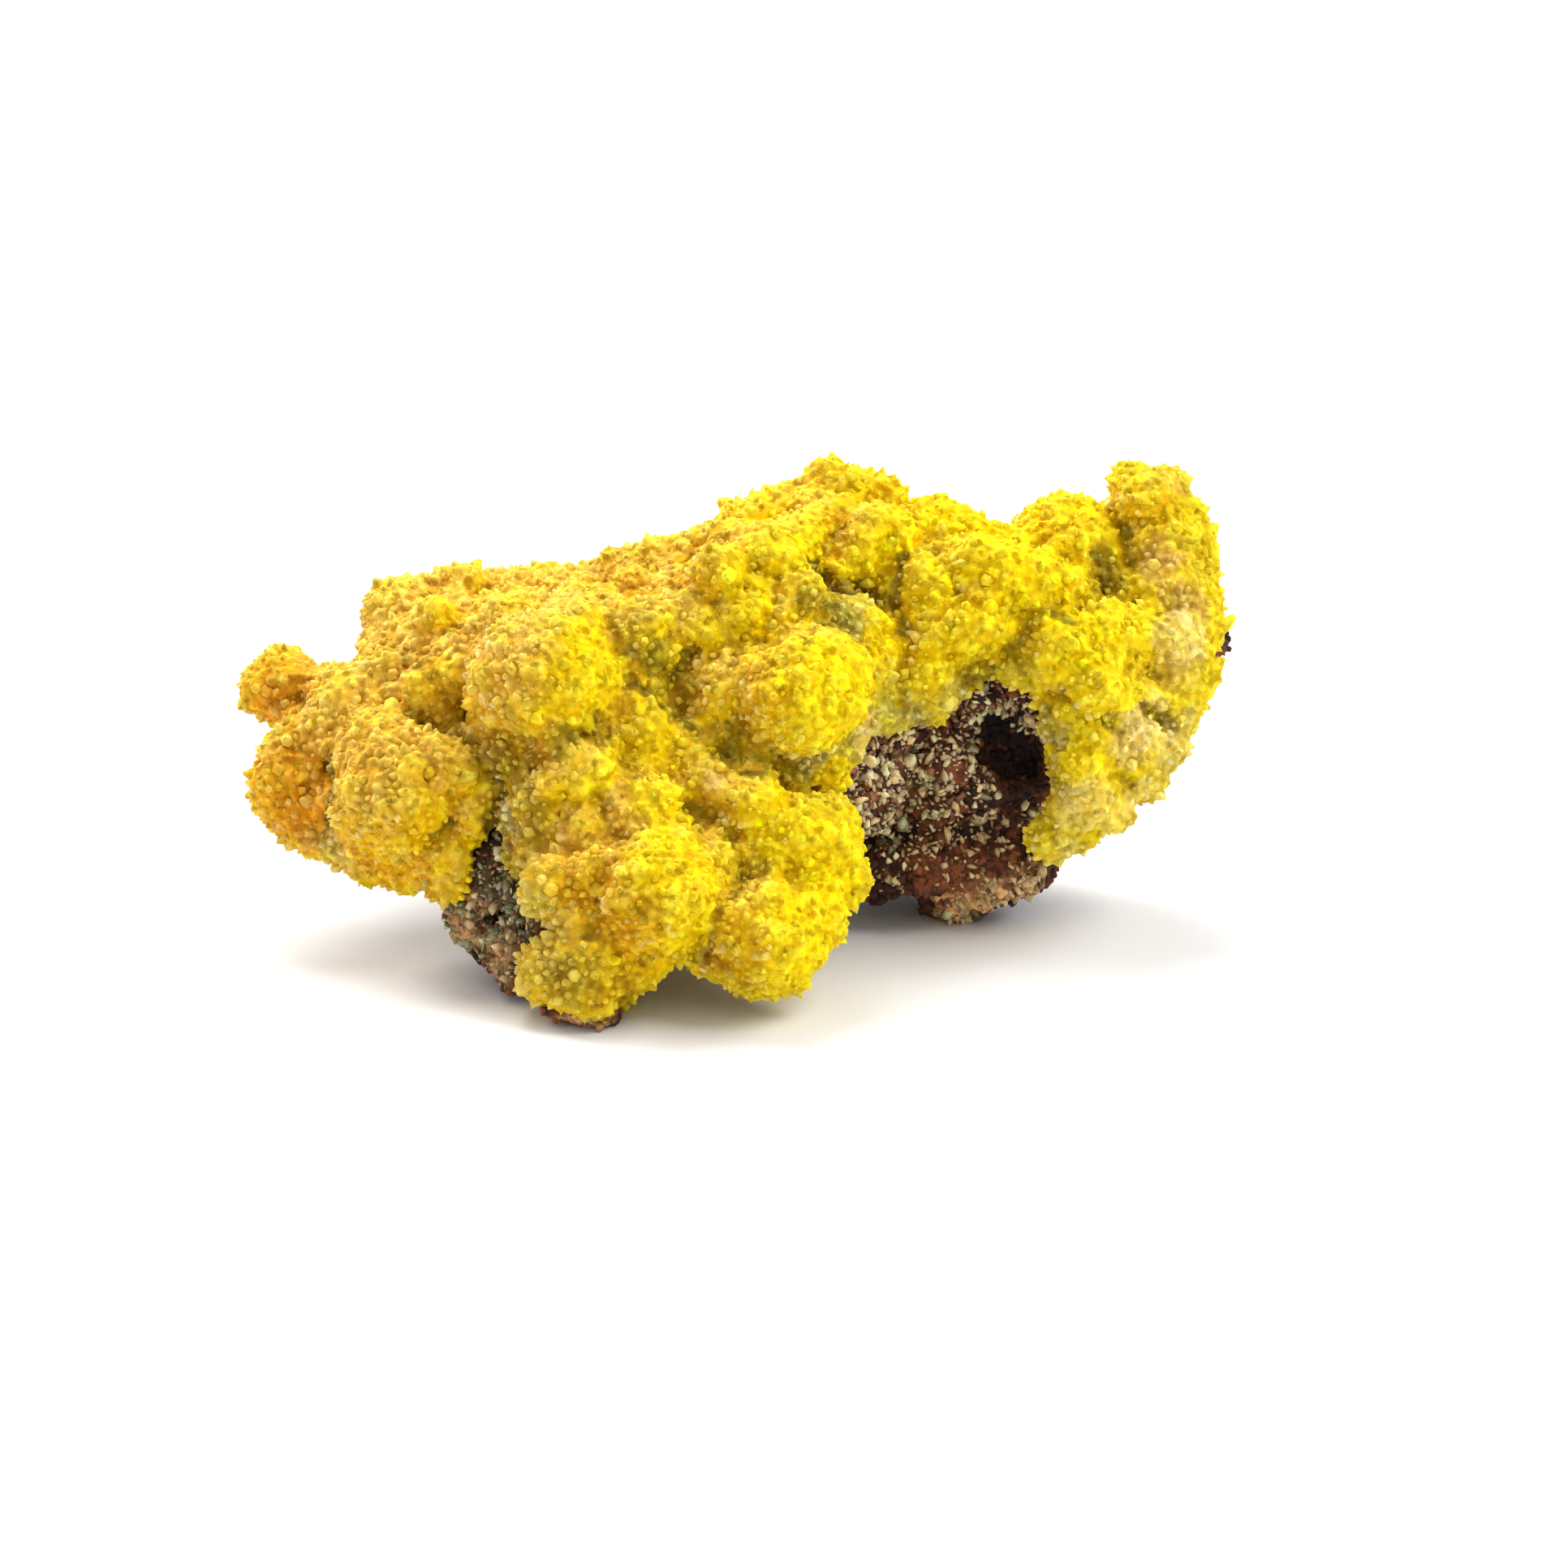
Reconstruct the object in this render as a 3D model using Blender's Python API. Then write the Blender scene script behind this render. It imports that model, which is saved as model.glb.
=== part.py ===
"""Mimetite specimen: a crust of yellow lobed mimetite grown on a brown gossan matrix that stands on three feet.

Lengths in the tables are millimetres. A place is written (across, rise, depth):
  across  to the right of the specimen's middle
  rise    height in the display view, whose line of sight drops by DISPLAY_TILT
  depth   how far behind the near foot, along the ground
so that the height above the ground is rise / cos(tilt) - depth * tan(tilt).
"""

import math
import random

import bmesh
import bpy
import numpy as np
from mathutils import Matrix, Vector
from mathutils.bvhtree import BVHTree

MM = 0.001
DISPLAY_TILT = math.radians(20)
BALL_SUBDIVISIONS = 3

FUSE_STEP = 0.45      # grid on which overlapping lobes are fused into one skin
CONTACT_GAP = 0.3     # clearance between the crust and the matrix below it
CRUST_TRIANGLES = 5450
MATRIX_TRIANGLES = 2200

DRUSE_SEED = 5
DRUSE_THICKNESS = (0.2, 0.7)   # at its rim and at its tallest crystals

NODULE_SEED = 3
NODULE_LOBE = 1.7      # smallest lobe that carries nodules
NODULE_COUNT = 5.5     # for each millimetre of the lobe's radius
NODULE_RADIUS = (0.42, 0.66)

FILL_SEED = 7
FILL_TRIES = 120       # places tried on each bed
FILL_RADIUS = (1.2, 2.1)
FILL_SPACING = 0.72    # of the two radii together
FILL_LOWEST_SLOPE = -0.45
FILL_SINK = 1.6        # how far a filling lobe may be sunk to stay under the skyline

# Lobes of the crust as (across, rise, depth, radius), gathered by the part of the specimen that they cover.
NEAR_LOBES = [
    (-3.9, 7.7, 4.5, 4.2), (-7.8, 7.7, 5.0, 2.7), (-7.3, 10.7, 6.5, 1.8), (-4.3, 12.7, 7.0, 1.9),
    (-9.9, 3.5, 3.2, 2.0), (-7.2, 3.0, 2.5, 1.8), (-7.5, 4.8, 2.8, 1.8), (-4.8, 3.9, 2.8, 1.7),
    (1.8, 5.5, 4.0, 3.8), (5.1, 5.9, 5.0, 1.8), (4.9, 10.8, 7.0, 2.9), (6.3, 8.4, 6.5, 1.8),
    (1.1, 12.3, 8.0, 2.6), (2.7, 10.0, 6.5, 2.6), (-0.9, 14.3, 9.5, 2.0), (4.3, 8.0, 5.5, 2.3),
    (-8.4, 14.3, 8.5, 2.3), (-10.4, 12.7, 8.5, 2.1), (-11.1, 10.0, 8.0, 1.6), (-10.5, 7.7, 7.0, 1.4),
    (-6.4, 13.4, 8.0, 1.5), (-4.8, 17.0, 11.5, 2.1), (-2.5, 15.7, 11.0, 2.0), (-1.3, 16.6, 12.0, 1.2),
    (-6.8, 15.9, 10.0, 1.6),
]
LEFT_LOBES = [
    (-18.2, 13.0, 11.0, 4.1), (-19.1, 16.1, 12.5, 2.4), (-15.5, 14.5, 10.8, 2.5), (-14.1, 12.7, 10.5, 1.9),
    (-20.9, 13.0, 11.5, 2.2), (-20.9, 10.5, 11.3, 1.9), (-18.2, 9.5, 10.8, 2.0), (-15.5, 9.1, 10.0, 2.0),
    (-14.8, 8.0, 9.8, 1.4), (-19.5, 9.2, 11.0, 1.4), (-24.8, 13.6, 14.5, 2.6), (-24.0, 15.9, 15.5, 2.2),
    (-23.6, 11.6, 13.5, 1.9), (-22.7, 10.7, 13.0, 1.2), (-25.5, 19.3, 19.5, 2.25), (-23.4, 19.5, 19.0, 1.5),
    (-21.4, 18.2, 16.0, 2.3), (-19.3, 19.3, 16.5, 2.2), (-16.4, 19.3, 15.0, 2.1), (-22.3, 19.1, 18.0, 1.9),
    (-17.3, 17.7, 14.0, 1.6), (-19.8, 21.8, 21.0, 1.6), (-19.1, 23.5, 22.0, 1.9), (-17.7, 24.3, 23.0, 1.8),
    (-15.5, 24.9, 23.5, 1.8), (-13.6, 24.5, 23.5, 1.6), (-15.9, 23.2, 21.0, 1.5), (-17.3, 21.8, 19.5, 1.8),
    (-14.8, 21.8, 18.5, 1.9), (-18.6, 20.7, 18.0, 1.8),
]
MIDDLE_LOBES = [
    (-10.2, 19.3, 12.5, 4.5), (-8.4, 22.5, 15.5, 2.3), (-12.3, 22.0, 16.0, 2.5), (-7.0, 21.4, 14.5, 1.6),
    (-14.3, 20.5, 15.5, 2.2), (-11.8, 24.8, 23.0, 1.4), (-11.1, 25.7, 24.0, 0.9), (-9.1, 24.5, 22.0, 1.7),
    (-11.8, 23.6, 19.5, 1.8), (-3.2, 24.1, 18.5, 2.1), (-5.2, 23.4, 18.5, 1.8), (-2.3, 21.8, 17.0, 1.6),
    (-4.1, 21.4, 17.0, 1.4), (-3.4, 19.1, 14.5, 1.5), (-5.5, 25.0, 20.0, 1.6), (0.2, 22.8, 15.5, 2.2),
    (1.4, 23.2, 15.3, 1.8), (3.9, 18.5, 11.5, 3.6), (0.0, 18.9, 12.5, 2.2), (6.0, 20.7, 13.0, 1.7),
    (1.8, 16.8, 11.5, 1.8), (2.5, 15.0, 12.5, 1.5), (3.6, 21.4, 13.5, 1.8),
]
RIDGE_LOBES = [
    (2.3, 26.0, 18.5, 2.85), (0.2, 26.4, 19.5, 2.2), (3.4, 23.5, 17.0, 1.6), (-6.3, 25.9, 22.0, 1.8),
    (-3.9, 26.4, 22.0, 1.8), (-1.9, 26.8, 22.0, 1.8), (0.0, 28.4, 23.0, 1.5), (1.6, 29.3, 24.0, 1.5),
    (3.3, 29.9, 24.5, 1.5), (5.5, 30.9, 25.0, 1.65), (7.0, 30.4, 24.5, 1.6), (8.6, 30.5, 24.5, 1.45),
    (4.5, 28.4, 21.0, 1.3), (6.6, 29.5, 23.0, 1.6), (8.0, 28.0, 21.0, 2.0), (7.4, 26.6, 20.0, 1.6),
    (9.3, 27.5, 21.0, 1.5), (11.8, 28.8, 23.0, 1.75), (13.5, 28.2, 22.5, 1.6), (14.8, 27.4, 22.0, 1.4),
    (11.4, 27.4, 21.5, 1.5), (14.8, 25.5, 18.5, 2.5), (16.9, 25.2, 18.5, 2.0), (18.6, 24.8, 19.0, 1.5),
    (12.7, 26.4, 20.0, 1.6), (16.8, 23.6, 17.5, 1.4), (6.5, 23.0, 16.5, 1.9), (11.1, 24.8, 18.5, 1.9),
    (13.4, 22.4, 16.5, 2.1), (11.4, 22.0, 16.5, 1.6), (9.5, 22.0, 17.0, 1.3), (11.1, 19.5, 15.5, 1.65),
    (8.4, 21.1, 15.5, 1.2), (8.4, 18.6, 15.5, 1.4), (9.8, 23.6, 18.5, 1.5), (14.5, 20.5, 17.0, 1.2),
    (7.2, 17.5, 14.0, 1.4), (9.0, 17.3, 15.0, 1.2), (6.6, 15.7, 12.8, 1.1), (11.2, 18.0, 16.0, 1.2),
    (13.2, 19.2, 17.0, 1.2), (7.6, 19.9, 14.5, 1.3),
]
RIGHT_LOBES = [
    (18.5, 28.3, 24.0, 1.6), (16.3, 27.4, 25.0, 1.2), (18.2, 26.4, 21.5, 1.9), (19.8, 25.7, 21.0, 1.5),
    (20.0, 28.6, 24.5, 1.2), (23.3, 29.9, 24.0, 2.3), (24.8, 30.7, 24.5, 1.6), (25.5, 29.9, 24.5, 1.0),
    (24.3, 28.0, 23.0, 2.2), (26.1, 27.5, 23.5, 1.7), (27.3, 26.1, 23.5, 1.1), (24.5, 25.2, 21.0, 2.2),
    (26.5, 24.1, 21.5, 1.6), (26.8, 28.6, 24.0, 1.1), (21.6, 25.0, 22.0, 1.5), (18.6, 21.3, 16.5, 2.3),
    (21.0, 21.6, 17.0, 2.0), (20.5, 18.9, 15.0, 2.2), (16.8, 20.0, 16.5, 1.3), (22.9, 21.8, 18.5, 1.9),
    (25.0, 21.6, 19.0, 1.9), (25.4, 19.3, 18.5, 1.9), (24.3, 17.7, 17.5, 1.7), (20.0, 15.8, 14.5, 1.9),
    (19.5, 14.3, 14.5, 1.7), (22.3, 15.5, 15.5, 2.0), (24.0, 15.7, 16.5, 1.7), (23.4, 14.1, 16.0, 1.4),
    (19.0, 12.3, 14.5, 1.9), (21.0, 12.6, 15.0, 1.7), (17.8, 10.8, 14.5, 1.6), (19.6, 11.0, 14.5, 1.4),
    (22.3, 17.7, 16.0, 1.8), (18.2, 17.3, 15.5, 1.4), (26.8, 22.3, 20.0, 1.2),
]

# Solid beds that the lobes stand on, as (x, y, z, x radius, y radius, z radius), z being height above the ground.
CRUST_BEDS = [
    (-18.0, 14.0, 10.2, 5.3, 3.9, 3.1), (-15.5, 20.0, 15.0, 5.8, 5.4, 3.8), (-8.0, 16.0, 15.5, 6.2, 5.8, 4.7),
    (-4.5, 8.5, 6.8, 4.7, 3.4, 3.4), (2.5, 8.5, 6.5, 3.3, 2.9, 3.3), (-2.0, 12.5, 11.0, 5.3, 3.4, 3.3),
    (-6.5, 11.0, 10.6, 3.8, 3.0, 2.8), (-12.6, 11.6, 10.6, 2.8, 2.7, 2.3), (1.0, 18.0, 17.0, 6.2, 5.3, 5.2),
    (7.0, 23.0, 19.5, 7.2, 4.3, 4.2), (15.5, 22.0, 18.0, 6.3, 4.0, 4.2), (24.0, 23.5, 19.0, 2.7, 2.7, 5.0),
    (21.5, 20.0, 14.5, 3.9, 3.4, 3.8), (20.4, 18.0, 10.0, 2.4, 2.1, 2.9), (-12.0, 26.0, 14.0, 6.5, 4.2, 4.6),
    (2.0, 27.0, 15.0, 8.5, 4.2, 5.6), (15.0, 26.0, 15.0, 7.5, 3.8, 5.6), (20.5, 22.5, 16.6, 2.5, 2.5, 2.5),
]
# The gossan matrix, in the same form.
MATRIX_BLOCKS = [
    (-16.0, 18.0, 9.8, 7.5, 5.0, 4.3), (-7.0, 18.0, 10.2, 7.0, 6.6, 6.2), (2.0, 20.0, 11.0, 9.0, 8.6, 7.0),
    (14.0, 21.5, 11.5, 8.5, 5.5, 7.0), (22.0, 21.0, 13.0, 4.3, 4.3, 5.6), (-9.0, 24.0, 10.0, 8.0, 5.0, 5.0),
    (4.0, 27.0, 9.0, 9.0, 4.0, 5.0), (-12.0, 10.0, 5.2, 2.6, 3.0, 3.2), (-13.0, 11.5, 5.0, 3.0, 3.0, 2.4),
    (12.2, 21.5, 5.6, 6.2, 4.6, 4.8), (-20.5, 14.5, 7.3, 3.4, 3.0, 1.8), (26.0, 21.8, 15.5, 2.2, 1.5, 1.2),
    (28.0, 22.0, 15.7, 0.9, 0.9, 0.9), (13.9, 18.2, 2.8, 3.9, 2.9, 1.9),
    (10.0, 18.0, 3.3, 3.6, 2.9, 1.9),
]
NEAR_FOOT = [(-7.9, 2.0, 0.8, 2.1, 1.5, 1.5), (-8.1, 5.0, 3.0, 2.3, 2.4, 3.0), (-8.6, 8.0, 5.5, 3.3, 3.4, 3.6)]
RIGHT_FOOT = [(12.7, 19.0, 0.9, 1.8, 1.8, 1.6)]
BACK_FOOT = [(-4.0, 27.5, 2.5, 3.2, 3.0, 3.2), (-4.0, 26.0, 6.0, 4.0, 3.5, 4.0)]
# Holes in the matrix: the dark recess behind the right rim of the hollow, pits of its wall, the hole at the left.
MATRIX_PITS = [
    (15.6, 16.6, 10.6, 2.3, 3.0, 2.6), (13.0, 15.8, 12.6, 1.6, 1.8, 1.4), (9.0, 14.4, 8.4, 1.3, 1.5, 1.1),
    (12.0, 15.6, 6.4, 1.4, 1.5, 1.0), (8.0, 14.6, 11.2, 1.2, 1.4, 1.2), (-12.6, 7.4, 7.4, 1.5, 1.8, 1.6),
    (-12.4, 8.0, 3.6, 1.2, 1.2, 1.0), (4.0, 21.0, 3.6, 2.2, 2.6, 1.2), (-14.0, 19.0, 5.2, 2.6, 2.0, 1.0),
    (20.0, 20.5, 6.8, 1.6, 1.4, 1.2), (-9.0, 29.2, 9.0, 1.8, 1.4, 1.4), (8.0, 31.0, 8.0, 2.0, 1.4, 1.5),
]
# Rock of the hollow that pale druse lines, densest at its top and left.
DRUSE_BEDS = [
    (9.6, 14.6, 11.2, 4.6, 5.0, 3.2), (7.2, 13.6, 8.2, 3.0, 4.0, 3.2), (13.2, 16.4, 13.0, 3.4, 3.4, 1.8),
    (11.4, 15.2, 8.4, 2.2, 3.0, 1.6),
]
# Spaces into which no filling lobe reaches: the hollow at the front right and the gap at the front left.
BARE_SPACES = [(11.8, 13.0, 8.6, 6.4, 6.0, 6.4), (-12.6, 7.6, 5.6, 2.4, 4.0, 3.4)]
# The top of the specimen in the display view, as (across, rise).
SKYLINE = [
    (-30.0, 17.0), (-22.0, 20.6), (-20.6, 23.8), (-17.0, 25.8), (-15.3, 26.6), (-8.0, 26.2), (-7.5, 27.6),
    (-3.5, 27.9), (0.0, 30.0), (3.2, 31.0), (5.5, 32.4), (9.9, 31.3), (10.1, 30.0), (13.2, 30.0),
    (15.5, 28.0), (18.5, 29.6), (20.8, 30.1), (24.4, 32.2), (26.4, 30.4), (28.0, 27.0), (32.0, 17.0),
]


def clear_scene():
    for obj in list(bpy.data.objects):
        bpy.data.objects.remove(obj, do_unlink=True)


def height(rise, depth):
    """Height above the ground of a place given by its rise in the display view and its depth."""
    return rise / math.cos(DISPLAY_TILT) - depth * math.tan(DISPLAY_TILT)


def lobe_balls():
    """The hand-placed lobes as ellipsoids (x, y, z, rx, ry, rz)."""
    lobes = NEAR_LOBES + LEFT_LOBES + MIDDLE_LOBES + RIDGE_LOBES + RIGHT_LOBES
    return [(across, depth, height(rise, depth), r, r, r) for across, rise, depth, r in lobes]


def ball_mesh(name, balls):
    """One mesh object that holds a sphere, stretched to an ellipsoid, for each entry."""
    bm = bmesh.new()
    bmesh.ops.create_icosphere(bm, subdivisions=BALL_SUBDIVISIONS, radius=1)
    sphere = np.array([v.co for v in bm.verts])
    faces = np.array([[v.index for v in face.verts] for face in bm.faces])
    bm.free()
    balls = np.array(balls)
    points = (sphere * balls[:, None, 3:] + balls[:, None, :3]) * MM
    corners = faces + (np.arange(len(balls)) * len(sphere))[:, None, None]
    mesh = bpy.data.meshes.new(name)
    mesh.from_pydata(points.reshape(-1, 3), [], corners.reshape(-1, 3))
    obj = bpy.data.objects.new(name, mesh)
    bpy.context.scene.collection.objects.link(obj)
    return obj


def apply_modifiers(obj):
    bpy.context.view_layer.update()
    graph = bpy.context.evaluated_depsgraph_get()
    mesh = bpy.data.meshes.new_from_object(obj.evaluated_get(graph))
    obj.modifiers.clear()
    obj.data = mesh


def fuse(obj):
    """Makes one skin of overlapping shapes."""
    remesh = obj.modifiers.new("fuse", "REMESH")
    remesh.mode = "VOXEL"
    remesh.voxel_size = FUSE_STEP * MM
    apply_modifiers(obj)


def reduce_to(obj, triangles):
    """Keeps about that many triangles, most of them where the surface bends."""
    count = sum(len(face.vertices) - 2 for face in obj.data.polygons)
    decimate = obj.modifiers.new("reduce", "DECIMATE")
    decimate.ratio = min(1.0, triangles / count)
    decimate.use_collapse_triangulate = True
    apply_modifiers(obj)


def main_shell(obj):
    """Keeps the largest closed skin of the mesh: small islands and sealed pockets go."""
    bm = bmesh.new()
    bm.from_mesh(obj.data)
    left = set(bm.faces)
    shells = []
    while left:
        shell = {left.pop()}
        edge_of_shell = set(shell)
        while edge_of_shell:
            face = edge_of_shell.pop()
            near = {other for edge in face.edges for other in edge.link_faces} - shell
            shell |= near
            edge_of_shell |= near
        left -= shell
        shells.append(shell)
    largest = max(shells, key=lambda shell: sum(face.calc_area() for face in shell))
    bmesh.ops.delete(bm, geom=[face for face in bm.faces if face not in largest], context="FACES")
    bm.to_mesh(obj.data)
    bm.free()


def nodules(lobes):
    """Small round nodules over each of the larger lobes, on all but its underside."""
    draw = random.Random(NODULE_SEED)
    golden = math.pi * (3 - math.sqrt(5))
    placed = []
    for x, y, z, r, *_ in lobes:
        if r < NODULE_LOBE:
            continue
        count = round(NODULE_COUNT * r)
        for i in range(count):
            level = 1 - 1.55 * (i + 0.5) / count
            ring = math.sqrt(1 - level * level)
            turn = i * golden + draw.uniform(-0.3, 0.3)
            radius = draw.uniform(*NODULE_RADIUS) * math.sqrt(r)
            reach = r - 0.65 * radius
            place = (x + reach * ring * math.cos(turn), y + reach * ring * math.sin(turn), z + reach * level)
            placed.append((*place, radius, radius, radius))
    return placed


def inside(point, ball, margin=0.0):
    """Whether the point is in the ellipsoid, or within the margin of it."""
    return sum(((point[i] - ball[i]) / (ball[i + 3] + margin)) ** 2 for i in range(3)) < 1


def skyline(across):
    """Rise of the specimen's top at that place in the display view."""
    for (x0, rise0), (x1, rise1) in zip(SKYLINE, SKYLINE[1:]):
        if across <= x1:
            return rise0 + (rise1 - rise0) * (across - x0) / (x1 - x0)
    return SKYLINE[-1][1]


def filling_lobes(lobes):
    """Smaller lobes over every stretch of the beds that no other lobe covers, the back and top above all."""
    draw = random.Random(FILL_SEED)
    golden = math.pi * (3 - math.sqrt(5))
    placed = []
    for bed in CRUST_BEDS:
        others = [other for other in CRUST_BEDS if other is not bed]
        for i in range(FILL_TRIES):
            level = 1 - 2 * (i + 0.5) / FILL_TRIES
            if level < FILL_LOWEST_SLOPE:
                continue
            ring = math.sqrt(1 - level * level)
            radius = draw.uniform(*FILL_RADIUS)
            x = bed[0] + bed[3] * ring * math.cos(i * golden)
            y = bed[1] + bed[4] * ring * math.sin(i * golden)
            z = bed[2] + bed[5] * level
            highest = height(min(skyline(x + side * radius) for side in (-0.8, 0, 0.8)) - radius, y)
            point = (x, y, min(z, highest))
            crowded = any(
                math.dist(point, lobe[:3]) < FILL_SPACING * (lobe[3] + radius) for lobe in lobes + placed
            )
            buried = any(inside(point, other) for other in others + MATRIX_BLOCKS)
            in_the_way = any(inside(point, space, radius) for space in BARE_SPACES)
            if z - highest < FILL_SINK and not crowded and not buried and not in_the_way:
                placed.append((*point, radius, radius, radius))
    return placed


def mark_bare(obj, covers):
    """Vertex group of what no cover hides, for the roughness of bare rock."""
    points = np.array([v.co for v in obj.data.vertices]) / MM
    hidden = np.zeros(len(points), bool)
    for cover in covers:
        hidden |= (((points - cover[:3]) / (np.array(cover[3:]) - 0.4)) ** 2).sum(axis=1) < 1
    group = obj.vertex_groups.new(name="bare")
    group.add([int(i) for i in np.flatnonzero(~hidden)], 1.0, "REPLACE")


def roughen(obj, name, kind, size, strength):
    """Pushes the bare surface in and out along its normals by a noise of that size, in millimetres."""
    texture = bpy.data.textures.new(name, kind)
    texture.noise_scale = size * MM
    push = obj.modifiers.new(name, "DISPLACE")
    push.texture = texture
    push.texture_coords = "LOCAL"
    push.vertex_group = "bare"
    push.mid_level = 0.5
    push.strength = strength * MM
    apply_modifiers(obj)


def cut_flat_at_ground(obj):
    """Grinds what reaches below the ground to flat contact faces."""
    bm = bmesh.new()
    bm.from_mesh(obj.data)
    everything = bm.verts[:] + bm.edges[:] + bm.faces[:]
    cut = bmesh.ops.bisect_plane(bm, geom=everything, plane_co=(0, 0, 0), plane_no=(0, 0, -1), clear_outer=True)
    rim = [item for item in cut["geom_cut"] if isinstance(item, bmesh.types.BMEdge)]
    bmesh.ops.holes_fill(bm, edges=rim)
    bmesh.ops.triangulate(bm, faces=bm.faces)
    bm.to_mesh(obj.data)
    bm.free()


def grown(obj, by):
    """A helper copy of the object whose surface stands that many millimetres further out."""
    copy = bpy.data.objects.new(obj.name + "_grown", obj.data.copy())
    bpy.context.scene.collection.objects.link(copy)
    push = copy.modifiers.new("grow", "DISPLACE")
    push.mid_level = 0
    push.strength = by * MM
    apply_modifiers(copy)
    return copy


def combine(obj, other, operation):
    boolean = obj.modifiers.new("combine", "BOOLEAN")
    boolean.operation = operation
    boolean.object = other
    boolean.use_self = True
    apply_modifiers(obj)


def finish_with(obj, colour, roughness):
    material = bpy.data.materials.new(obj.name)
    material.use_nodes = True
    shader = material.node_tree.nodes["Principled BSDF"]
    shader.inputs["Base Color"].default_value = (*colour, 1)
    shader.inputs["Roughness"].default_value = roughness
    obj.data.materials.clear()
    obj.data.materials.append(material)


def build_matrix(covers):
    matrix = ball_mesh("matrix", MATRIX_BLOCKS + NEAR_FOOT + RIGHT_FOOT + BACK_FOOT)
    fuse(matrix)
    pits = ball_mesh("pits", MATRIX_PITS)
    combine(matrix, pits, "DIFFERENCE")
    bpy.data.objects.remove(pits)
    fuse(matrix)
    mark_bare(matrix, covers)
    roughen(matrix, "ledges", "VORONOI", 3.0, 1.6)
    roughen(matrix, "crags", "CLOUDS", 1.5, 1.4)
    reduce_to(matrix, MATRIX_TRIANGLES)
    cut_flat_at_ground(matrix)
    main_shell(matrix)
    finish_with(matrix, (0.10, 0.045, 0.02), 0.9)
    return matrix


def build_crust(skin_balls, matrix):
    """The outer skin is fused and reduced while solid, then hollowed by the matrix and its clearance."""
    crust = ball_mesh("mimetite_crust", skin_balls)
    fuse(crust)
    reduce_to(crust, CRUST_TRIANGLES)
    cutter = grown(matrix, CONTACT_GAP)
    combine(crust, cutter, "DIFFERENCE")
    bpy.data.objects.remove(cutter)
    main_shell(crust)
    finish_with(crust, (0.80, 0.55, 0.06), 0.45)
    return crust


def patch_of_hollow(matrix, crust):
    """The bare rock of the hollow that the druse lines, clear of the crust, as an open sheet of finer faces."""
    graph = bpy.context.evaluated_depsgraph_get()
    crust_skin = BVHTree.FromObject(crust, graph)
    clearance = (CONTACT_GAP + DRUSE_THICKNESS[1] + 0.1) * MM
    sheet = bmesh.new()
    sheet.from_mesh(matrix.data)
    others = []
    for face in sheet.faces:
        centre = face.calc_center_median() / MM
        lined = any(inside(centre, bed) for bed in DRUSE_BEDS)
        covered = any(crust_skin.find_nearest(v.co, clearance)[0] for v in face.verts)
        if covered or not lined:
            others.append(face)
    bmesh.ops.delete(sheet, geom=others, context="FACES")
    pinched = True
    while pinched:
        pinched = [v for v in sheet.verts if sum(edge.is_boundary for edge in v.link_edges) > 2]
        touching = {face for v in pinched for face in v.link_faces}
        bmesh.ops.delete(sheet, geom=list(touching), context="FACES")
    bmesh.ops.subdivide_edges(sheet, edges=sheet.edges[:], cuts=1, use_grid_fill=True)
    bmesh.ops.triangulate(sheet, faces=sheet.faces[:])
    return sheet


def build_druse(matrix, crust):
    """A thin skin of small crystals on the rock of the hollow."""
    draw = random.Random(DRUSE_SEED)
    sheet = patch_of_hollow(matrix, crust)
    sheet.normal_update()
    bm = bmesh.new()
    bottom, top = {}, {}
    for v in sheet.verts:
        bottom[v] = bm.verts.new(v.co + v.normal * CONTACT_GAP * MM)
        thickness = DRUSE_THICKNESS[0] if v.is_boundary else draw.uniform(*DRUSE_THICKNESS)
        top[v] = bm.verts.new(v.co + v.normal * (CONTACT_GAP + thickness) * MM)
    for face in sheet.faces:
        bm.faces.new([top[v] for v in face.verts])
        bm.faces.new([bottom[v] for v in reversed(face.verts)])
    for edge in sheet.edges:
        if edge.is_boundary:
            loop = edge.link_loops[0]
            start, end = loop.vert, loop.link_loop_next.vert
            bm.faces.new([bottom[start], bottom[end], top[end], top[start]])
    bmesh.ops.triangulate(bm, faces=bm.faces[:])
    mesh = bpy.data.meshes.new("hollow_druse")
    bm.to_mesh(mesh)
    bm.free()
    sheet.free()
    druse = bpy.data.objects.new("hollow_druse", mesh)
    bpy.context.scene.collection.objects.link(druse)
    main_shell(druse)
    finish_with(druse, (0.62, 0.60, 0.48), 0.4)
    return druse


def centre_on_origin(objects):
    """Puts the specimen's bounding box with the middle of its bottom on the origin."""
    points = np.array([v.co for obj in objects for v in obj.data.vertices])
    low, high = points.min(axis=0), points.max(axis=0)
    shift = Vector((-(low[0] + high[0]) / 2, -(low[1] + high[1]) / 2, -low[2]))
    for obj in objects:
        obj.data.transform(Matrix.Translation(shift))


def main():
    clear_scene()
    lobes = lobe_balls()
    skin_balls = lobes + CRUST_BEDS + filling_lobes(lobes)
    skin_balls += nodules(skin_balls[:len(lobes)])
    matrix = build_matrix(skin_balls)
    crust = build_crust(skin_balls, matrix)
    druse = build_druse(matrix, crust)
    centre_on_origin([matrix, crust, druse])


main()
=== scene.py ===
"""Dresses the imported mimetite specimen.

The yellow crust gets its fine skin and its crystals, the rock its crags and grains, and the hollow its pale
druse. The stage is the floor, the lights and the camera.

Lengths in the tables are millimetres. A place is written (across, rise, depth), as the display view shows it:
to the right of the specimen's middle, up, and behind the near foot along the ground.
"""

import math

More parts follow.
